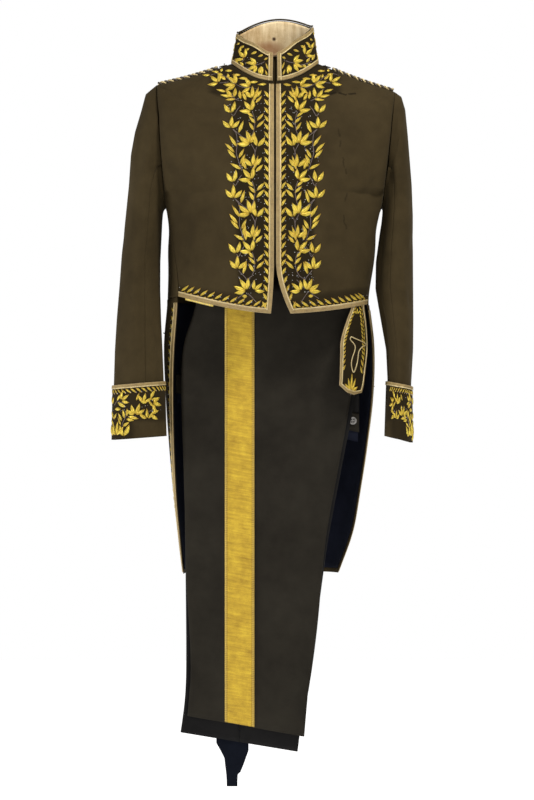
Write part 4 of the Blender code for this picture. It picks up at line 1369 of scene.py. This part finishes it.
# A leaf's outline and ridge: shares of its length and of its width
leafStations = ((0.0, 0.0), (0.16, 0.56), (0.40, 1.0), (0.66, 0.74), (0.87, 0.27), (1.0, 0.0))
leafPlump = 1.48       # drawn width over the chart's width
leafRise = 0.24        # ridge height over width
leafSink = -0.15       # how far the edges lie in the cloth
petalSpread = {2: (-24, 23), 3: (-46, 0, 45), 4: (-60, -24, 14, 50), 5: (-72, -37, 0, 36, 70)}
chartStep = 1.85       # millimetres


class Needlework:
    # gathers leaves (0), stems (1) and spangles (2) on one ground; a and b are places on it in millimetres
    def __init__(self, name, place, seed):
        self.name, self.place = name, place
        self.parts = []
        self.dice = random.Random(seed)

    def leaf(self, base, tip, width, bow=0.0):
        # satin-stitched leaf: a ridge between two low edges, closed below
        across, along = tip[0] - base[0], tip[1] - base[1]
        length = math.hypot(across, along)
        if length < 0.5:
            return
        width *= leafPlump
        side = (-along / length, across / length)
        corners, flats = [], []
        for share, part in leafStations:
            swing = bow * math.sin(math.pi * share)
            for edge in (-1, 0, 1) if part else (0,):
                shift = swing + edge * part * width / 2
                height = width * leafRise * (0.4 + 0.6 * part) if edge == 0 and part else leafSink
                spot = self.place(base[0] + across * share + side[0] * shift,
                                  base[1] + along * share + side[1] * shift, height)
                if spot is None:
                    return
                corners.append(tuple(spot))
                flats.append((edge * part * width / 2 * mm, length * share * mm))
        faces = [(0, 1, 2), (0, 2, 3), (0, 3, 1)]
        for a in (1, 4, 7):
            b, c = a + 1, a + 2
            faces += [(a, a + 3, b + 3, b), (b, b + 3, c + 3, c), (c, c + 3, a + 3, a)]
        faces += [(10, 13, 11), (11, 13, 12), (12, 13, 10)]
        self.parts.append((corners, faces, flats, 0))

    def tulip(self, base, lean, size, petals):
        # cup of petals, the outer ones first; lean in degrees from straight up
        for spread in sorted(petalSpread[petals], key=abs, reverse=True):
            turn = math.radians(lean + spread + self.dice.uniform(-4, 4))
            length = size * (25.0 - 0.04 * abs(spread)) * self.dice.uniform(0.94, 1.06)
            start, tip = ((base[0] + math.sin(turn) * reach, base[1] + math.cos(turn) * reach)
                          for reach in (1.2, length))
            bow = -0.05 * length * math.copysign(1, spread) if spread else 0
            self.leaf(start, tip, size * (6.0 if petals > 2 else 6.2), bow)

    def stem(self, points, radius=0.5):
        spots = [self.place(a, b, radius * 0.5) for a, b in smoothLine(points, 4)]
        line = [tuple(spot) for spot in spots if spot is not None]
        if len(line) > 2:
            self.parts.append((*tube(line, radius, 4), 1))

    def spangle(self, a, b, radius):
        low, high = [], []
        for turn in (number * math.pi / 3 for number in range(6)):
            for height, rim, size in ((-0.1, low, 1.0), (0.55, high, 0.75)):
                spot = self.place(a + math.cos(turn) * radius * size,
                                  b + math.sin(turn) * radius * size, height)
                if spot is None:
                    return
                rim.append(tuple(spot))
        faces = [(5, 4, 3, 2, 1, 0), (6, 7, 8, 9, 10, 11)]
        faces += [(number, (number + 1) % 6, 6 + (number + 1) % 6, 6 + number) for number in range(6)]
        self.parts.append((low + high, faces, [(0.0, 0.0)] * 12, 2))

    def spray(self, chart, spot=None, turn=lambda lean: lean, size=1.0):
        # one chart, its places led through spot
        wobble = self.dice.uniform
        spot = spot or (lambda a, b: (a, b))
        for a, b, lean, tulipSize, petals in chart["tulips"]:
            x, y = spot(a, b)
            self.tulip((x + wobble(-0.5, 0.5), y + wobble(-0.5, 0.5)), turn(lean), tulipSize * size, petals)
        for tipA, tipB, a, b, width in chart["leaves"]:
            x, y = spot(tipA, tipB)
            tip = (x + wobble(-0.7, 0.7), y + wobble(-0.7, 0.7))
            self.leaf(spot(a, b), tip, width * wobble(0.95, 1.1))
        for line in chart["stems"]:
            self.stem([spot(a, b) for a, b in line])

    def finish(self):
        return settle(joined(self.name, self.parts, [goldThread, stemSilk, silverMetal]), "gold_lace")


def seenOn(name):
    # places by their x and z as seen from the front
    tree = skins[name]

    def place(x, z, out):
        hit, facing, _, _ = tree.ray_cast(Vector((x, -420, z)), Vector((0, 1, 0)))
        if hit is None:
            return None
        return hit + (facing if facing.y < 0 else -facing) * out
    return place


def laidOn(name, u0, v0, acrossSign=1.0, alongSign=1.0):
    # places by millimetres along the cloth from one place on it
    cloth = grounds[name]

    def place(a, b, out):
        u, v = cloth.moved(u0, v0, acrossSign * a, alongSign * b)
        return cloth.at(u, v, out) if cloth.covers(u, v) else None
    return place


# One repeat of the front vine, in steps across from the edge cord and down from the top of the repeat. A
# leaf is tip, base and width; a tulip is base, lean, size and petals.
vine = {
    "top": 99.5, "repeat": 70.2, "count": 3,
    "tulips": (
        (16.5, 0, 0, 1.0, 3), (17.5, 13, -38, 1.05, 3), (18.5, 46.5, -30, 1.15, 4), (12.5, 50, 14, 1.0, 2),
        (38, 15.5, -12, 1.0, 2), (38, 31, 2, 1.02, 3),
    ),
    "leaves": (
        (27, -7, 23, 2.5, 4.2), (11, -12.5, 16, 4, 4.4), (6.5, -3, 14, 5, 4.4), (24.5, 12.5, 15.5, 19.5, 4.0),
        (5, 15, 12.5, 23.5, 4.4), (21, 18.5, 13.5, 26, 4.0), (4.5, 22, 13, 30.5, 4.4),
        (21, 24, 15, 33.5, 4.2), (26, 22.5, 31, 36, 4.6), (41, 37, 32.5, 50, 4.6), (45, 45.5, 35, 56, 4.4),
        (43.5, 52, 34, 61.5, 4.4),
        (25.5, 51.5, 31.5, 61.5, 4.4), (24, 56.5, 30, 67.5, 4.4), (23, 60.5, 28.5, 70, 4.2),
        (41, 66.5, 29, 72.5, 4.2),
    ),
    "stems": (
        ((17, 14), (15, 20), (14.5, 27), (15.5, 33), (17, 37.5)), ((17, 37.5), (22, 41), (28, 39), (36, 32)),
        ((16, 1), (15.5, 4), (17, 8)), ((18, 47), (14.5, 54), (14.5, 60), (16.5, 68)),
        ((12.5, 50), (13.5, 53), (14.5, 57)), ((38, 16), (35.5, 18), (32, 12), (29, 8)),
        ((36.5, 32), (33, 37), (32.5, 47), (33.5, 56), (31.5, 64), (28.5, 74)),
    ),
}
# The branch over each shoulder and the sprays at the foot, in steps from the cord and down the front
shoulderBranch = {
    "tulips": (
        (50.5, 82.5, -50, 0.95, 3), (58.5, 73.5, -65, 0.7, 2), (33.5, 84.5, -62, 1.0, 4),
        (19, 87, -80, 0.95, 3), (35.5, 99.5, -12, 0.95, 2),
    ),
    "leaves": (
        (58.5, 69, 50.5, 70.5, 3.8), (47, 66, 48.5, 70.5, 3.8), (54, 71.5, 46, 74.5, 4.0),
        (49.5, 74.5, 43.5, 79.5, 4.2), (42, 72.5, 41.5, 78, 4.0), (45, 69, 37, 69.5, 3.8),
        (37.5, 74.5, 28.5, 74.5, 3.8), (31.5, 78.5, 21.5, 78.5, 3.8), (22, 82.5, 11, 82, 3.8),
        (12, 85.5, 2.5, 84.5, 3.8), (53, 89, 43, 92.5, 4.0), (50, 95.5, 38, 98, 4.2),
        (44.5, 101, 33, 100, 4.2), (29.5, 91, 28.5, 100.5, 4.4),
    ),
    "stems": (
        ((59, 74), (52, 72.5), (44, 76), (40, 80), (34, 84.5)), ((50, 83), (45, 82.5), (41, 82)),
        ((43, 90), (38.5, 94.5), (34, 100), (30, 102)), ((33, 85), (26, 88), (20, 88), (12, 90)),
    ),
}
vineFoot = {
    "tulips": ((22, 292, -42, 1.05, 4), (14.5, 292, 48, 0.9, 3)),
    "leaves": ((31.5, 297, 20.5, 297.5, 4.4),),
    "stems": (
        ((24, 293.5), (31, 296), (36, 299.5)), ((20.5, 294), (15, 299), (11, 303.5)),
        ((13.5, 281), (16.5, 285), (19, 290)),
    ),
}
shoulderLevel = 75     # the chart's step at the height of the origin
vineShows = (95, 286)  # steps between which the vine's repeats are drawn
narrowing = {"from": 110, "over": 190, "by": 0.17, "beyond": 24}   # the vine's outer half draws in downwards
edgeLeaves = {"pitch": 15.6, "reach": 10.5, "drop": 15.0, "width": 4.0, "start": -30.0, "end": -428.0}
hemLeaves = {"pitch": 14.6, "reach": 16.0, "low": 10.2, "rise": 11.5, "width": 3.5, "from": 26.0}
frontSpangles = 150


def cordLine(side, z):
    # x of the edge cord as seen from the front, without its sign
    edge = grounds["front_cloth_" + side].points[:, 0]
    return abs(edge[np.argmin(np.abs(edge[:, 2] - z)), 0]) + piping["width"] + 1.0


def frontSpot(side, across, down):
    z = (shoulderLevel - down) * chartStep
    narrow = 1 - narrowing["by"] * smooth((down - narrowing["from"]) / narrowing["over"])
    if across > narrowing["beyond"]:
        across *= narrow
    return sides[side] * (cordLine(side, min(z, -95)) + across * chartStep), z


def frontSpray(work, side, chart, top=0.0, shows=(0, 400)):
    # one chart of the front, with only what lies between the two levels shown
    wobble, sign = work.dice.uniform, sides[side]
    spot = partial(frontSpot, side)

    def seen(down):
        return shows[0] < top + down < shows[1]

    for across, drop, lean, size, petals in chart["tulips"]:
        if seen(drop):
            place = spot(across + wobble(-0.4, 0.4), top + drop + wobble(-0.4, 0.4))
            work.tulip(place, -sign * lean, size, petals)
    for tipAcross, tipDown, across, down, width in chart["leaves"]:
        if seen(down):
            tip = spot(tipAcross + wobble(-0.5, 0.5), top + tipDown + wobble(-0.5, 0.5))
            work.leaf(spot(across, top + down), tip, width * wobble(0.95, 1.12), sign * wobble(-0.5, 0.5))
    for line in chart["stems"]:
        points = [spot(across, top + drop) for across, drop in line if seen(drop)]
        if len(points) > 2:
            work.stem(points)


def edgeRow(work, side):
    # slanted leaves down the front's edge, each with a bud below and a spangle
    sign, drop, z = sides[side], edgeLeaves["drop"], edgeLeaves["start"]
    while z > edgeLeaves["end"]:
        inner = cordLine(side, z - drop) + 0.6
        outer = cordLine(side, z) + edgeLeaves["reach"]
        work.leaf((sign * inner, z - drop), (sign * outer, z), edgeLeaves["width"], sign * 0.8)
        work.leaf((sign * (inner - 0.2), z - drop - 8), (sign * (inner + 0.6), z - drop), 1.8)
        work.spangle(sign * (outer - 1.5), z - 9.5, 0.9)
        z -= edgeLeaves["pitch"]


def hemRow(work, side):
    # the same along the hem
    sign, run, last = sides[side], 10.0, None
    for share in linear(600):
        point = grounds["front_cloth_" + side].at(share, 0.0)
        if last is not None:
            run += np.linalg.norm(point - last)
        last = point
        if run >= hemLeaves["pitch"] and abs(point[0]) > hemLeaves["from"]:
            run, x, z = 0.0, point[0], point[2] + hemLeaves["low"]
            work.leaf((x, z), (x - sign * hemLeaves["reach"], z + hemLeaves["rise"]), hemLeaves["width"],
                      sign * 0.7)
            work.leaf((x + sign * 6, z + 0.4), (x, z + 0.8), 1.7)
            work.spangle(x + sign * 2, z + 7.5, 0.9)


def buildFrontNeedlework():
    for number, side in enumerate(sides):
        work = Needlework("front_embroidery_" + side, seenOn("front_cloth_" + side), 11 + number)
        for turn in range(vine["count"]):
            frontSpray(work, side, vine, vine["top"] + turn * vine["repeat"], vineShows)
        frontSpray(work, side, shoulderBranch)
        frontSpray(work, side, vineFoot)
        edgeRow(work, side)
        hemRow(work, side)
        for _ in range(frontSpangles):
            down = work.dice.uniform(97, 296)
            across = work.dice.uniform(6, 42 - 6 * (down - 97) / 200)
            work.spangle(*frontSpot(side, across, down), work.dice.uniform(0.55, 0.85))
        work.finish()
    print("front embroidery sewn")


# The front of the collar, in steps from the middle and down the front as the branches are
collarFront = {
    "tulips": (
        (30.3, 57.8, -40, 0.85, 3), (18.4, 64.9, -95, 0.88, 4), (37, 52, -20, 0.7, 3), (35, 71, -110, 0.6, 2),
    ),
    "leaves": (
        (13, 76, 14, 66, 5.6), (16, 75, 15, 67, 4.4), (40.3, 56.2, 37.1, 63.3, 3.8),
        (35.8, 60.1, 31.3, 65.3, 3.8), (37.1, 66.5, 32.6, 68.5, 3.6), (32.6, 71, 27.4, 67.2, 3.8),
        (41, 45.9, 38.1, 51.1, 3.8), (38.4, 42.9, 35.2, 40.9, 3.2), (35.2, 47.2, 30.7, 44.3, 3.4),
        (30.7, 50.4, 25.5, 47.5, 3.4), (24.5, 53.8, 18, 51.4, 3.4), (17.8, 57, 11.8, 54.6, 3.2),
        (11, 60.3, 7, 57.6, 3.0), (9.6, 62.5, 6.6, 70.5, 2.4), (10.2, 69.5, 7.6, 76.5, 2.6),
    ),
    "stems": (
        ((10.7, 62), (14, 63.6), (18.4, 64.9), (24, 67.5), (31, 66.5), (37, 64)),
        ((30.3, 57.8), (33, 61), (35.5, 64.5)),
    ),
}
# One spray of the collar's sides and back, in millimetres along the cloth and up from the seam
collarSpray = {
    "tulips": ((8, 17, -58, 0.8, 3), (27, 29, 35, 0.78, 3), (36, 18, 120, 0.6, 2)),
    "leaves": (
        (2, 27, 13, 23, 4.2), (17, 12, 22, 24, 4.0), (33, 38, 24, 27, 4.0), (41, 31, 30, 26, 3.8),
        (24, 12, 30, 20, 3.8),
    ),
    "stems": (((-4, 20), (6, 19), (15, 24), (27, 27), (36, 20), (40, 19)),),
}
collarPlan = {"pitch": 43.0, "count": 3, "start": 3.0, "border": 12.0, "keep": 92.0, "leftLift": 0.2}
# The cuff's spray, in steps from the outer fold and down from the collar's level, as hung
cuffSpray = {
    "tulips": (
        (112.6, 403.5, 4, 0.82, 2), (124.4, 399.4, 58, 0.95, 3), (137.2, 413.4, 8, 1.06, 4),
        (144.8, 400.5, 12, 0.9, 3), (150, 398, 60, 1.0, 2), (152.2, 401.5, 106, 1.12, 3),
        (147.6, 417, -6, 0.92, 3), (150, 412.3, 96, 1.02, 2), (119.0, 434.5, 6, 1.3, 3),
        (127, 435, 2, 1.2, 2), (113.5, 435, -4, 1.2, 2),
    ),
    "leaves": (
        (124.4, 392.5, 119.4, 399.5, 4.6), (120, 400.8, 129, 405.4, 5.0), (116.4, 407.8, 124.4, 407.3, 5.0),
        (140.8, 390.5, 138.3, 399, 3.4), (140.8, 398.5, 147.7, 401, 5.0), (147.7, 398, 153.2, 405.4, 3.4),
        (120.4, 415.3, 124.4, 423.8, 3.6), (121.4, 411, 125.4, 419.8, 4.4), (126, 407, 128, 417, 4.4),
        (130, 406, 130, 415, 3.6), (140.8, 416.8, 131, 414.5, 4.6), (136.8, 418.5, 129.4, 417.3, 4.4),
        (132.4, 420, 126, 425, 4.2), (119.4, 411.5, 115.4, 418.3, 4.4), (110.9, 410, 115.6, 418.2, 5.0),
        (111, 418, 116, 425.3, 5.0), (112.4, 428.5, 117, 439.4, 5.8), (113.8, 433, 117.6, 439.8, 4.6),
    ),
    "stems": (
        ((116.4, 404), (120, 399.5), (124, 401), (129.5, 401.5)),
        ((125.4, 425), (126.4, 421), (128.3, 417), (129.8, 413)),
        ((148.3, 410.4), (151, 408.3), (153.5, 406.8)), ((138.3, 414), (135, 415), (131, 415.5)),
    ),
}
cuffPlan = {"corner": (110.6, 383.0), "slope": 0.1, "wide": 56.0, "lift": 2.2, "size": 0.85, "spangles": 22}
cuffBorder = {"pitch": 9.6, "reach": (12.5, -11.0), "width": 2.7, "drop": -6.4}
cuffStretch = {"right": 1.0, "left": 1.3}     # the spray reaches further round the left cuff


def outerFold(cloth):
    # the cloth's u at the fold furthest from the body, and the way from there to the front
    row = cloth.points[len(cloth.vs) // 2]
    fold = int(np.argmax(np.abs(row[:-1, 0])))
    ahead, behind = row[(fold + 4) % (len(row) - 1), 1], row[(fold - 4) % (len(row) - 1), 1]
    return cloth.us[fold], 1 if ahead < behind else -1


def aroundCuff(cloth, fold, way, a, b, out):
    # place on a cuff by millimetres from its outer fold and up from its top edge
    u, v = cloth.moved(fold, cloth.vs[0] + 0.001, way * a, -b)
    u = cloth.us[0] + (u - cloth.us[0]) % (cloth.us[-1] - cloth.us[0])
    return cloth.at(u, v, out) if cloth.covers(u, v) else None


def cuffSpot(side, girth, x, y):
    # the chart's place as seen from the front, led round the cuff's curve
    share = min(max((x - cuffPlan["corner"][0]) / cuffPlan["wide"], 0), 1)
    bend = math.acos(1 - 2 * share) / math.pi
    low = y - cuffPlan["lift"] - cuffPlan["corner"][1] + (x - cuffPlan["corner"][0]) * cuffPlan["slope"]
    return (girth * 0.46 * (0.45 * bend + 0.55 * share) + 2.0) * cuffStretch[side], -low * chartStep


def buildCuffNeedlework():
    for number, side in enumerate(sides):
        cloth = grounds["cuff_cloth_" + side]
        work = Needlework("cuff_embroidery_" + side, None, 31 + number)
        girth = lineLength(cloth.points[4])
        fold, front = outerFold(cloth)
        for way in (front, -front):
            work.place = partial(aroundCuff, cloth, fold, way)
            work.spray(cuffSpray, partial(cuffSpot, side, girth), size=cuffPlan["size"])
            a, drop = 1.5, cuffBorder["drop"]
            while a < girth / 2 - 8:
                tip = (a + cuffBorder["reach"][0], drop + cuffBorder["reach"][1])
                work.leaf((a, drop), tip, cuffBorder["width"], 0.5)
                work.spangle(a + 1.5, -14.5, 0.8)
                a += cuffBorder["pitch"]
            for _ in range(cuffPlan["spangles"]):
                work.spangle(work.dice.uniform(4, girth * 0.42), work.dice.uniform(-62, -22),
                             work.dice.uniform(0.5, 0.8))
        work.finish()
    print("cuff embroidery sewn")


def collarSpot(side, across, y):
    lift = collarPlan["leftLift"] * across if side == "left" else 0
    return sides[side] * across * chartStep, (shoulderLevel - y) * chartStep + lift


def buildCollarNeedlework():
    seen = seenOn("collar_cloth")
    work = Needlework("collar_embroidery", seen, 51)
    for side, sign in sides.items():
        work.spray(collarFront, partial(collarSpot, side), lambda lean: -sign * lean)
        for _ in range(16):
            work.spangle(sign * work.dice.uniform(16, 74), work.dice.uniform(-4, 34), 0.6)
    cloth = grounds["collar_cloth"]
    half = lineLength(cloth.points[4]) / 2
    high = cloth.scale(0.5, 0.9)[1]
    for way in (1, -1):
        work.place = laidOn("collar_cloth", 0.5, 0.0, way)
        for turn in range(collarPlan["count"]):
            start = turn * collarPlan["pitch"] + collarPlan["start"]
            work.spray(collarSpray, lambda a, b: (a + start, b))
        a = 2.0
        while a < half - collarPlan["keep"]:
            work.leaf((a, high - 7.5), (a + 8, high - 13.5), 3.2)
            work.spangle(a + 2, high - 12.5, 0.7)
            a += collarPlan["border"]
    work.finish()
    print("collar embroidery sewn")


tailLeaves = {"pitch": 15.4, "start": 20.0, "keep": 14.0}
frogLeaves = {"pitch": 7.4, "start": 14.0, "keep": 26.0, "inside": 6.8}


def onFrog(x, z, out):
    # place on the frog by millimetres from its middle, and z
    cloth = grounds["frog_cloth"]
    v = (z - frogRows[0]["height"]) / (frogRows[-1]["height"] - frogRows[0]["height"])
    if not 0 <= v <= 1:
        return None
    u = 0.5 + x / cloth.scale(0.5, v)[0]
    return cloth.at(u, v, out) if 0 < u < 1 else None


def buildEdgeNeedlework():
    for number, side in enumerate(sides):
        name = "tail_cloth_" + side
        cloth = grounds[name]
        work = Needlework("tail_embroidery_" + side, None, 61 + number)
        length = lineLength(cloth.points[:, 2])
        down = tailLeaves["start"]
        while down < length - tailLeaves["keep"]:
            work.place = laidOn(name, 0.0, down / length * cloth.vs[-1], 1, -1)
            work.leaf((8.8, -9), (18.5, 2.5), 4.4, 0.7)
            work.leaf((8.6, -17), (9.6, -9), 1.8)
            work.spangle(16.0, -6.5, 0.85)
            down += tailLeaves["pitch"]
        work.finish()
    work = Needlework("frog_embroidery", onFrog, 71)
    high, low = frogRows[0]["height"], frogRows[-1]["height"]
    z = high - frogLeaves["start"]
    while z > low + frogLeaves["keep"]:
        inner = grounds["frog_cloth"].scale(0.5, (z - high) / (low - high))[0] / 2 - frogLeaves["inside"]
        for sign in (-1, 1):
            work.leaf((sign * inner, z - 8), (sign * (inner - 8.0), z + 0.5), 2.9, sign * 0.5)
            work.leaf((sign * (inner - 0.6), z - 3.5), (sign * (inner + 0.4), z + 5.5), 1.7)
        z -= frogLeaves["pitch"]
    work.spray({"tulips": ((0, low + 5, 0, 0.74, 5),), "leaves": (),
                "stems": (((0, low + 1), (0, low + 3), (0, low + 5)),)})
    work.spray({"tulips": ((0, high + (low - high) * 0.2, 0, 0.5, 3),), "leaves": (), "stems": ()})
    work.finish()
    print("edge embroidery sewn")


buildFrontNeedlework()
buildCuffNeedlework()
buildCollarNeedlework()
buildEdgeNeedlework()


# Buttons and foot strap. Rings are insets and rises as shares of the radius.
giltButton = {
    "sides": 36, "radius": 0.0079, "rim": 0.0012, "soft": 0.00022,
    "rings": ((0.09, -0.03), (0.05, 0.07), (0.16, 0.13), (0.22, 0.10), (0.22, 0.05)),
}
braceButton = {
    "sides": 32, "radius": 0.0072, "rim": 0.0022, "soft": 0.00018,
    "rings": ((0.10, 0.06), (0.14, 0.0), (0.12, -0.20)), "hole": 0.0012, "spread": 0.0021,
}


def cylinder(sides, radius, depth, place):
    bpy.ops.object.select_all(action="DESELECT")
    bpy.ops.mesh.primitive_cylinder_add(vertices=sides, radius=radius, depth=depth, location=place)
    return bpy.context.object


def topFace(button):
    # selects only the highest face of the mesh in edit mode
    bpy.ops.mesh.select_all(action="DESELECT")
    work = bmesh.from_edit_mesh(button.data)
    work.faces.ensure_lookup_table()
    best = max(work.faces, key=lambda face: (round(face.calc_center_median().z, 6), face.normal.z))
    best.select = True
    bmesh.update_edit_mesh(button.data)


def applied(button, kind, **settings):
    change = button.modifiers.new("change", kind)
    for key, entry in settings.items():
        setattr(change, key, entry)
    bpy.context.view_layer.objects.active = button
    bpy.ops.object.modifier_apply(modifier=change.name)


def turnedButton(plan):
    # disc with rings worked into its face, and holes where the plan has them
    radius, rim = plan["radius"], plan["rim"]
    button = cylinder(plan["sides"], radius, rim, (0, 0, rim / 2))
    bpy.ops.object.mode_set(mode="EDIT")
    bpy.ops.mesh.select_mode(type="FACE")
    for inset, rise in plan["rings"]:
        topFace(button)
        bpy.ops.mesh.inset(thickness=inset * radius, depth=0)
        bpy.ops.transform.translate(value=(0, 0, rise * radius))
    bpy.ops.object.mode_set(mode="OBJECT")
    spread = plan.get("spread", 0)
    for x, y in ((-1, -1), (-1, 1), (1, -1), (1, 1)) if spread else ():
        drill = cylinder(14, plan["hole"], 0.02, (x * spread, y * spread, 0))
        applied(button, "BOOLEAN", object=drill)
        bpy.data.objects.remove(drill)
    applied(button, "BEVEL", width=plan["soft"], segments=2, limit_method="ANGLE")
    button.data.shade_smooth()
    return button


def nodeMiddle(node):
    low, high = (Vector(corner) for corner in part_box(node))
    return (low + high) / 2


def seatButton(pattern, name, node, facing, material, slotName):
    # a copy of the pattern, its back on the CAD button's own back
    facing = Vector(facing).normalized()
    button = bpy.data.objects.new(name, pattern.data.copy())
    bpy.context.scene.collection.objects.link(button)
    depth = max(vertex.co.z for vertex in button.data.vertices)
    place = Matrix.Translation(nodeMiddle(node) - facing * depth / 2)
    button.data.transform(place @ facing.to_track_quat("Z", "Y").to_matrix().to_4x4())
    button.data.materials.clear()
    button.data.materials.append(material)
    settle(button, slotName, node)


def buildButtons():
    pattern = turnedButton(giltButton)
    for side, sign in sides.items():
        seatButton(pattern, "shoulder_gilt_" + side, "shoulder_button_" + side, (sign * 0.25, 0, 1),
                   darkMetal, "gilt_button")
        for number in (1, 2):
            node = f"hip_button_{side}_{number}"
            middle = nodeMiddle(node) / mm
            facing = skins["tail_cloth_" + side].find_nearest(middle)[1]
            if facing.dot(Vector((middle.x, middle.y, 0))) < 0:
                facing = -facing
            seatButton(pattern, f"hip_gilt_{side}_{number}", node, facing, darkMetal, "gilt_button")
    bpy.data.objects.remove(pattern)
    pattern = turnedButton(braceButton)
    seatButton(pattern, "brace_horn", "brace_button", (0, -1, 0), greyHorn, "plain_button")
    bpy.data.objects.remove(pattern)
    print("buttons made")


strapMiddle = -27.7
strapHalf = 2.2        # half the thickness of the doubled webbing
strapRows = table(
    "drop near far",
    (1214, -109, -49), (1238, -109, -49), (1252, -101, -49), (1266, -94, -54), (1280, -92.5, -59),
    (1292, -91, -64), (1296, -90.5, -69), (1308, -89.8, -69.6), (1318.5, -89.5, -69.6),
)


def buildStrap():
    drops, near, far = ([row[name] for row in strapRows] for name in ("drop", "near", "far"))
    rows = np.linspace(-drops[0], -drops[-1], 60)
    near, far = np.interp(-rows, drops, near)[:, None], np.interp(-rows, drops, far)[:, None]
    shares = np.array([0, 0.03, 0.08] + [n / 14 for n in range(2, 13)] + [0.92, 0.97, 1.0])
    roll = np.interp(shares, (0, 0.03, 0.1, 0.9, 0.97, 1), (0.35, 0.75, 1, 1, 0.75, 0.35))
    x = near + (far - near) * shares
    wave = 0.5 * np.sin(rows / 9.0)[:, None] * np.cos(shares * 5)[None]
    z = np.broadcast_to(rows[:, None], x.shape)
    outer, inner = (np.stack([x, strapMiddle + way * strapHalf * roll[None] + wave, z], axis=2)
                    for way in (-1, 1))
    band = makeWall("foot_webbing", outer, inner, webbing)
    settle(band, "strap", "foot_strap", flat=(0.105, 0.06), held="folded", area=0.0047)
    print("strap made")


buildButtons()
buildStrap()


# Camera, light and floor
studio = {
    "distance": 6.05, "nearest": 0.05, "middle": (-0.0148, -0.6013), "pictureHeight": 1.48, "sensor": 36,
    "floor": -1.45, "floorSize": 9, "floorGlow": 0.9, "worldGlow": 0.19, "target": (0, 0, -0.55),
}
# place, size, power and color
lights = {
    "key": ((0.85, -1.1, 1.5), 0.4, 52, (1.0, 0.96, 0.89)),
    "low fill": ((0.5, -2.3, -0.75), 0.9, 9, (1.0, 0.96, 0.9)),
    "fill": ((-2.3, -0.75, 0.15), 1.0, 36, (1.0, 0.98, 0.95)),
}


def addObject(name, data, place):
    item = bpy.data.objects.new(name, data)
    bpy.context.scene.collection.objects.link(item)
    item.location = place
    return item


def buildLights():
    for name, (place, size, power, color) in lights.items():
        data = bpy.data.lights.new(name, "AREA")
        data.shape, data.size, data.energy, data.color = "DISK", size, power, color
        lamp = addObject(name, data, place)
        lamp.rotation_euler = (Vector(studio["target"]) - lamp.location).to_track_quat("-Z", "Y").to_euler()


def buildCamera():
    data = bpy.data.cameras.new("camera")
    data.sensor_width = studio["sensor"]
    data.lens = studio["sensor"] * (studio["distance"] - studio["nearest"]) / studio["pictureHeight"]
    eye = addObject("camera", data, (studio["middle"][0], -studio["distance"], studio["middle"][1]))
    eye.rotation_euler = (math.radians(90), 0, 0)
    bpy.context.scene.camera = eye


def buildRoom():
    bpy.ops.mesh.primitive_plane_add(size=studio["floorSize"], location=(0, 0, studio["floor"]))
    floor = bpy.context.object
    floor.name = "floor"
    paper = Shader("paper", 0.9)
    floor.data.materials.append(paper.finish((0.85, 0.85, 0.85), Emission_Color=(1.0, 1.0, 1.0),
                                             Emission_Strength=studio["floorGlow"]))
    world = bpy.data.worlds.new("studio")
    bpy.context.scene.world = world
    world.use_nodes = True
    nodes, wires = world.node_tree.nodes, world.node_tree.links
    glow, blank = nodes["Background"], nodes.new("ShaderNodeBackground")
    glow.inputs[1].default_value = studio["worldGlow"]
    for shade in (glow, blank):
        shade.inputs[0].default_value = (1, 1, 1, 1)
    either, rays = nodes.new("ShaderNodeMixShader"), nodes.new("ShaderNodeLightPath")
    wires.new(rays.outputs["Is Camera Ray"], either.inputs[0])
    wires.new(glow.outputs[0], either.inputs[1])
    wires.new(blank.outputs[0], either.inputs[2])
    wires.new(either.outputs[0], nodes["World Output"].inputs[0])
    bpy.context.scene.view_settings.view_transform = "Standard"


buildCamera()
buildRoom()
buildLights()
print("stage made")
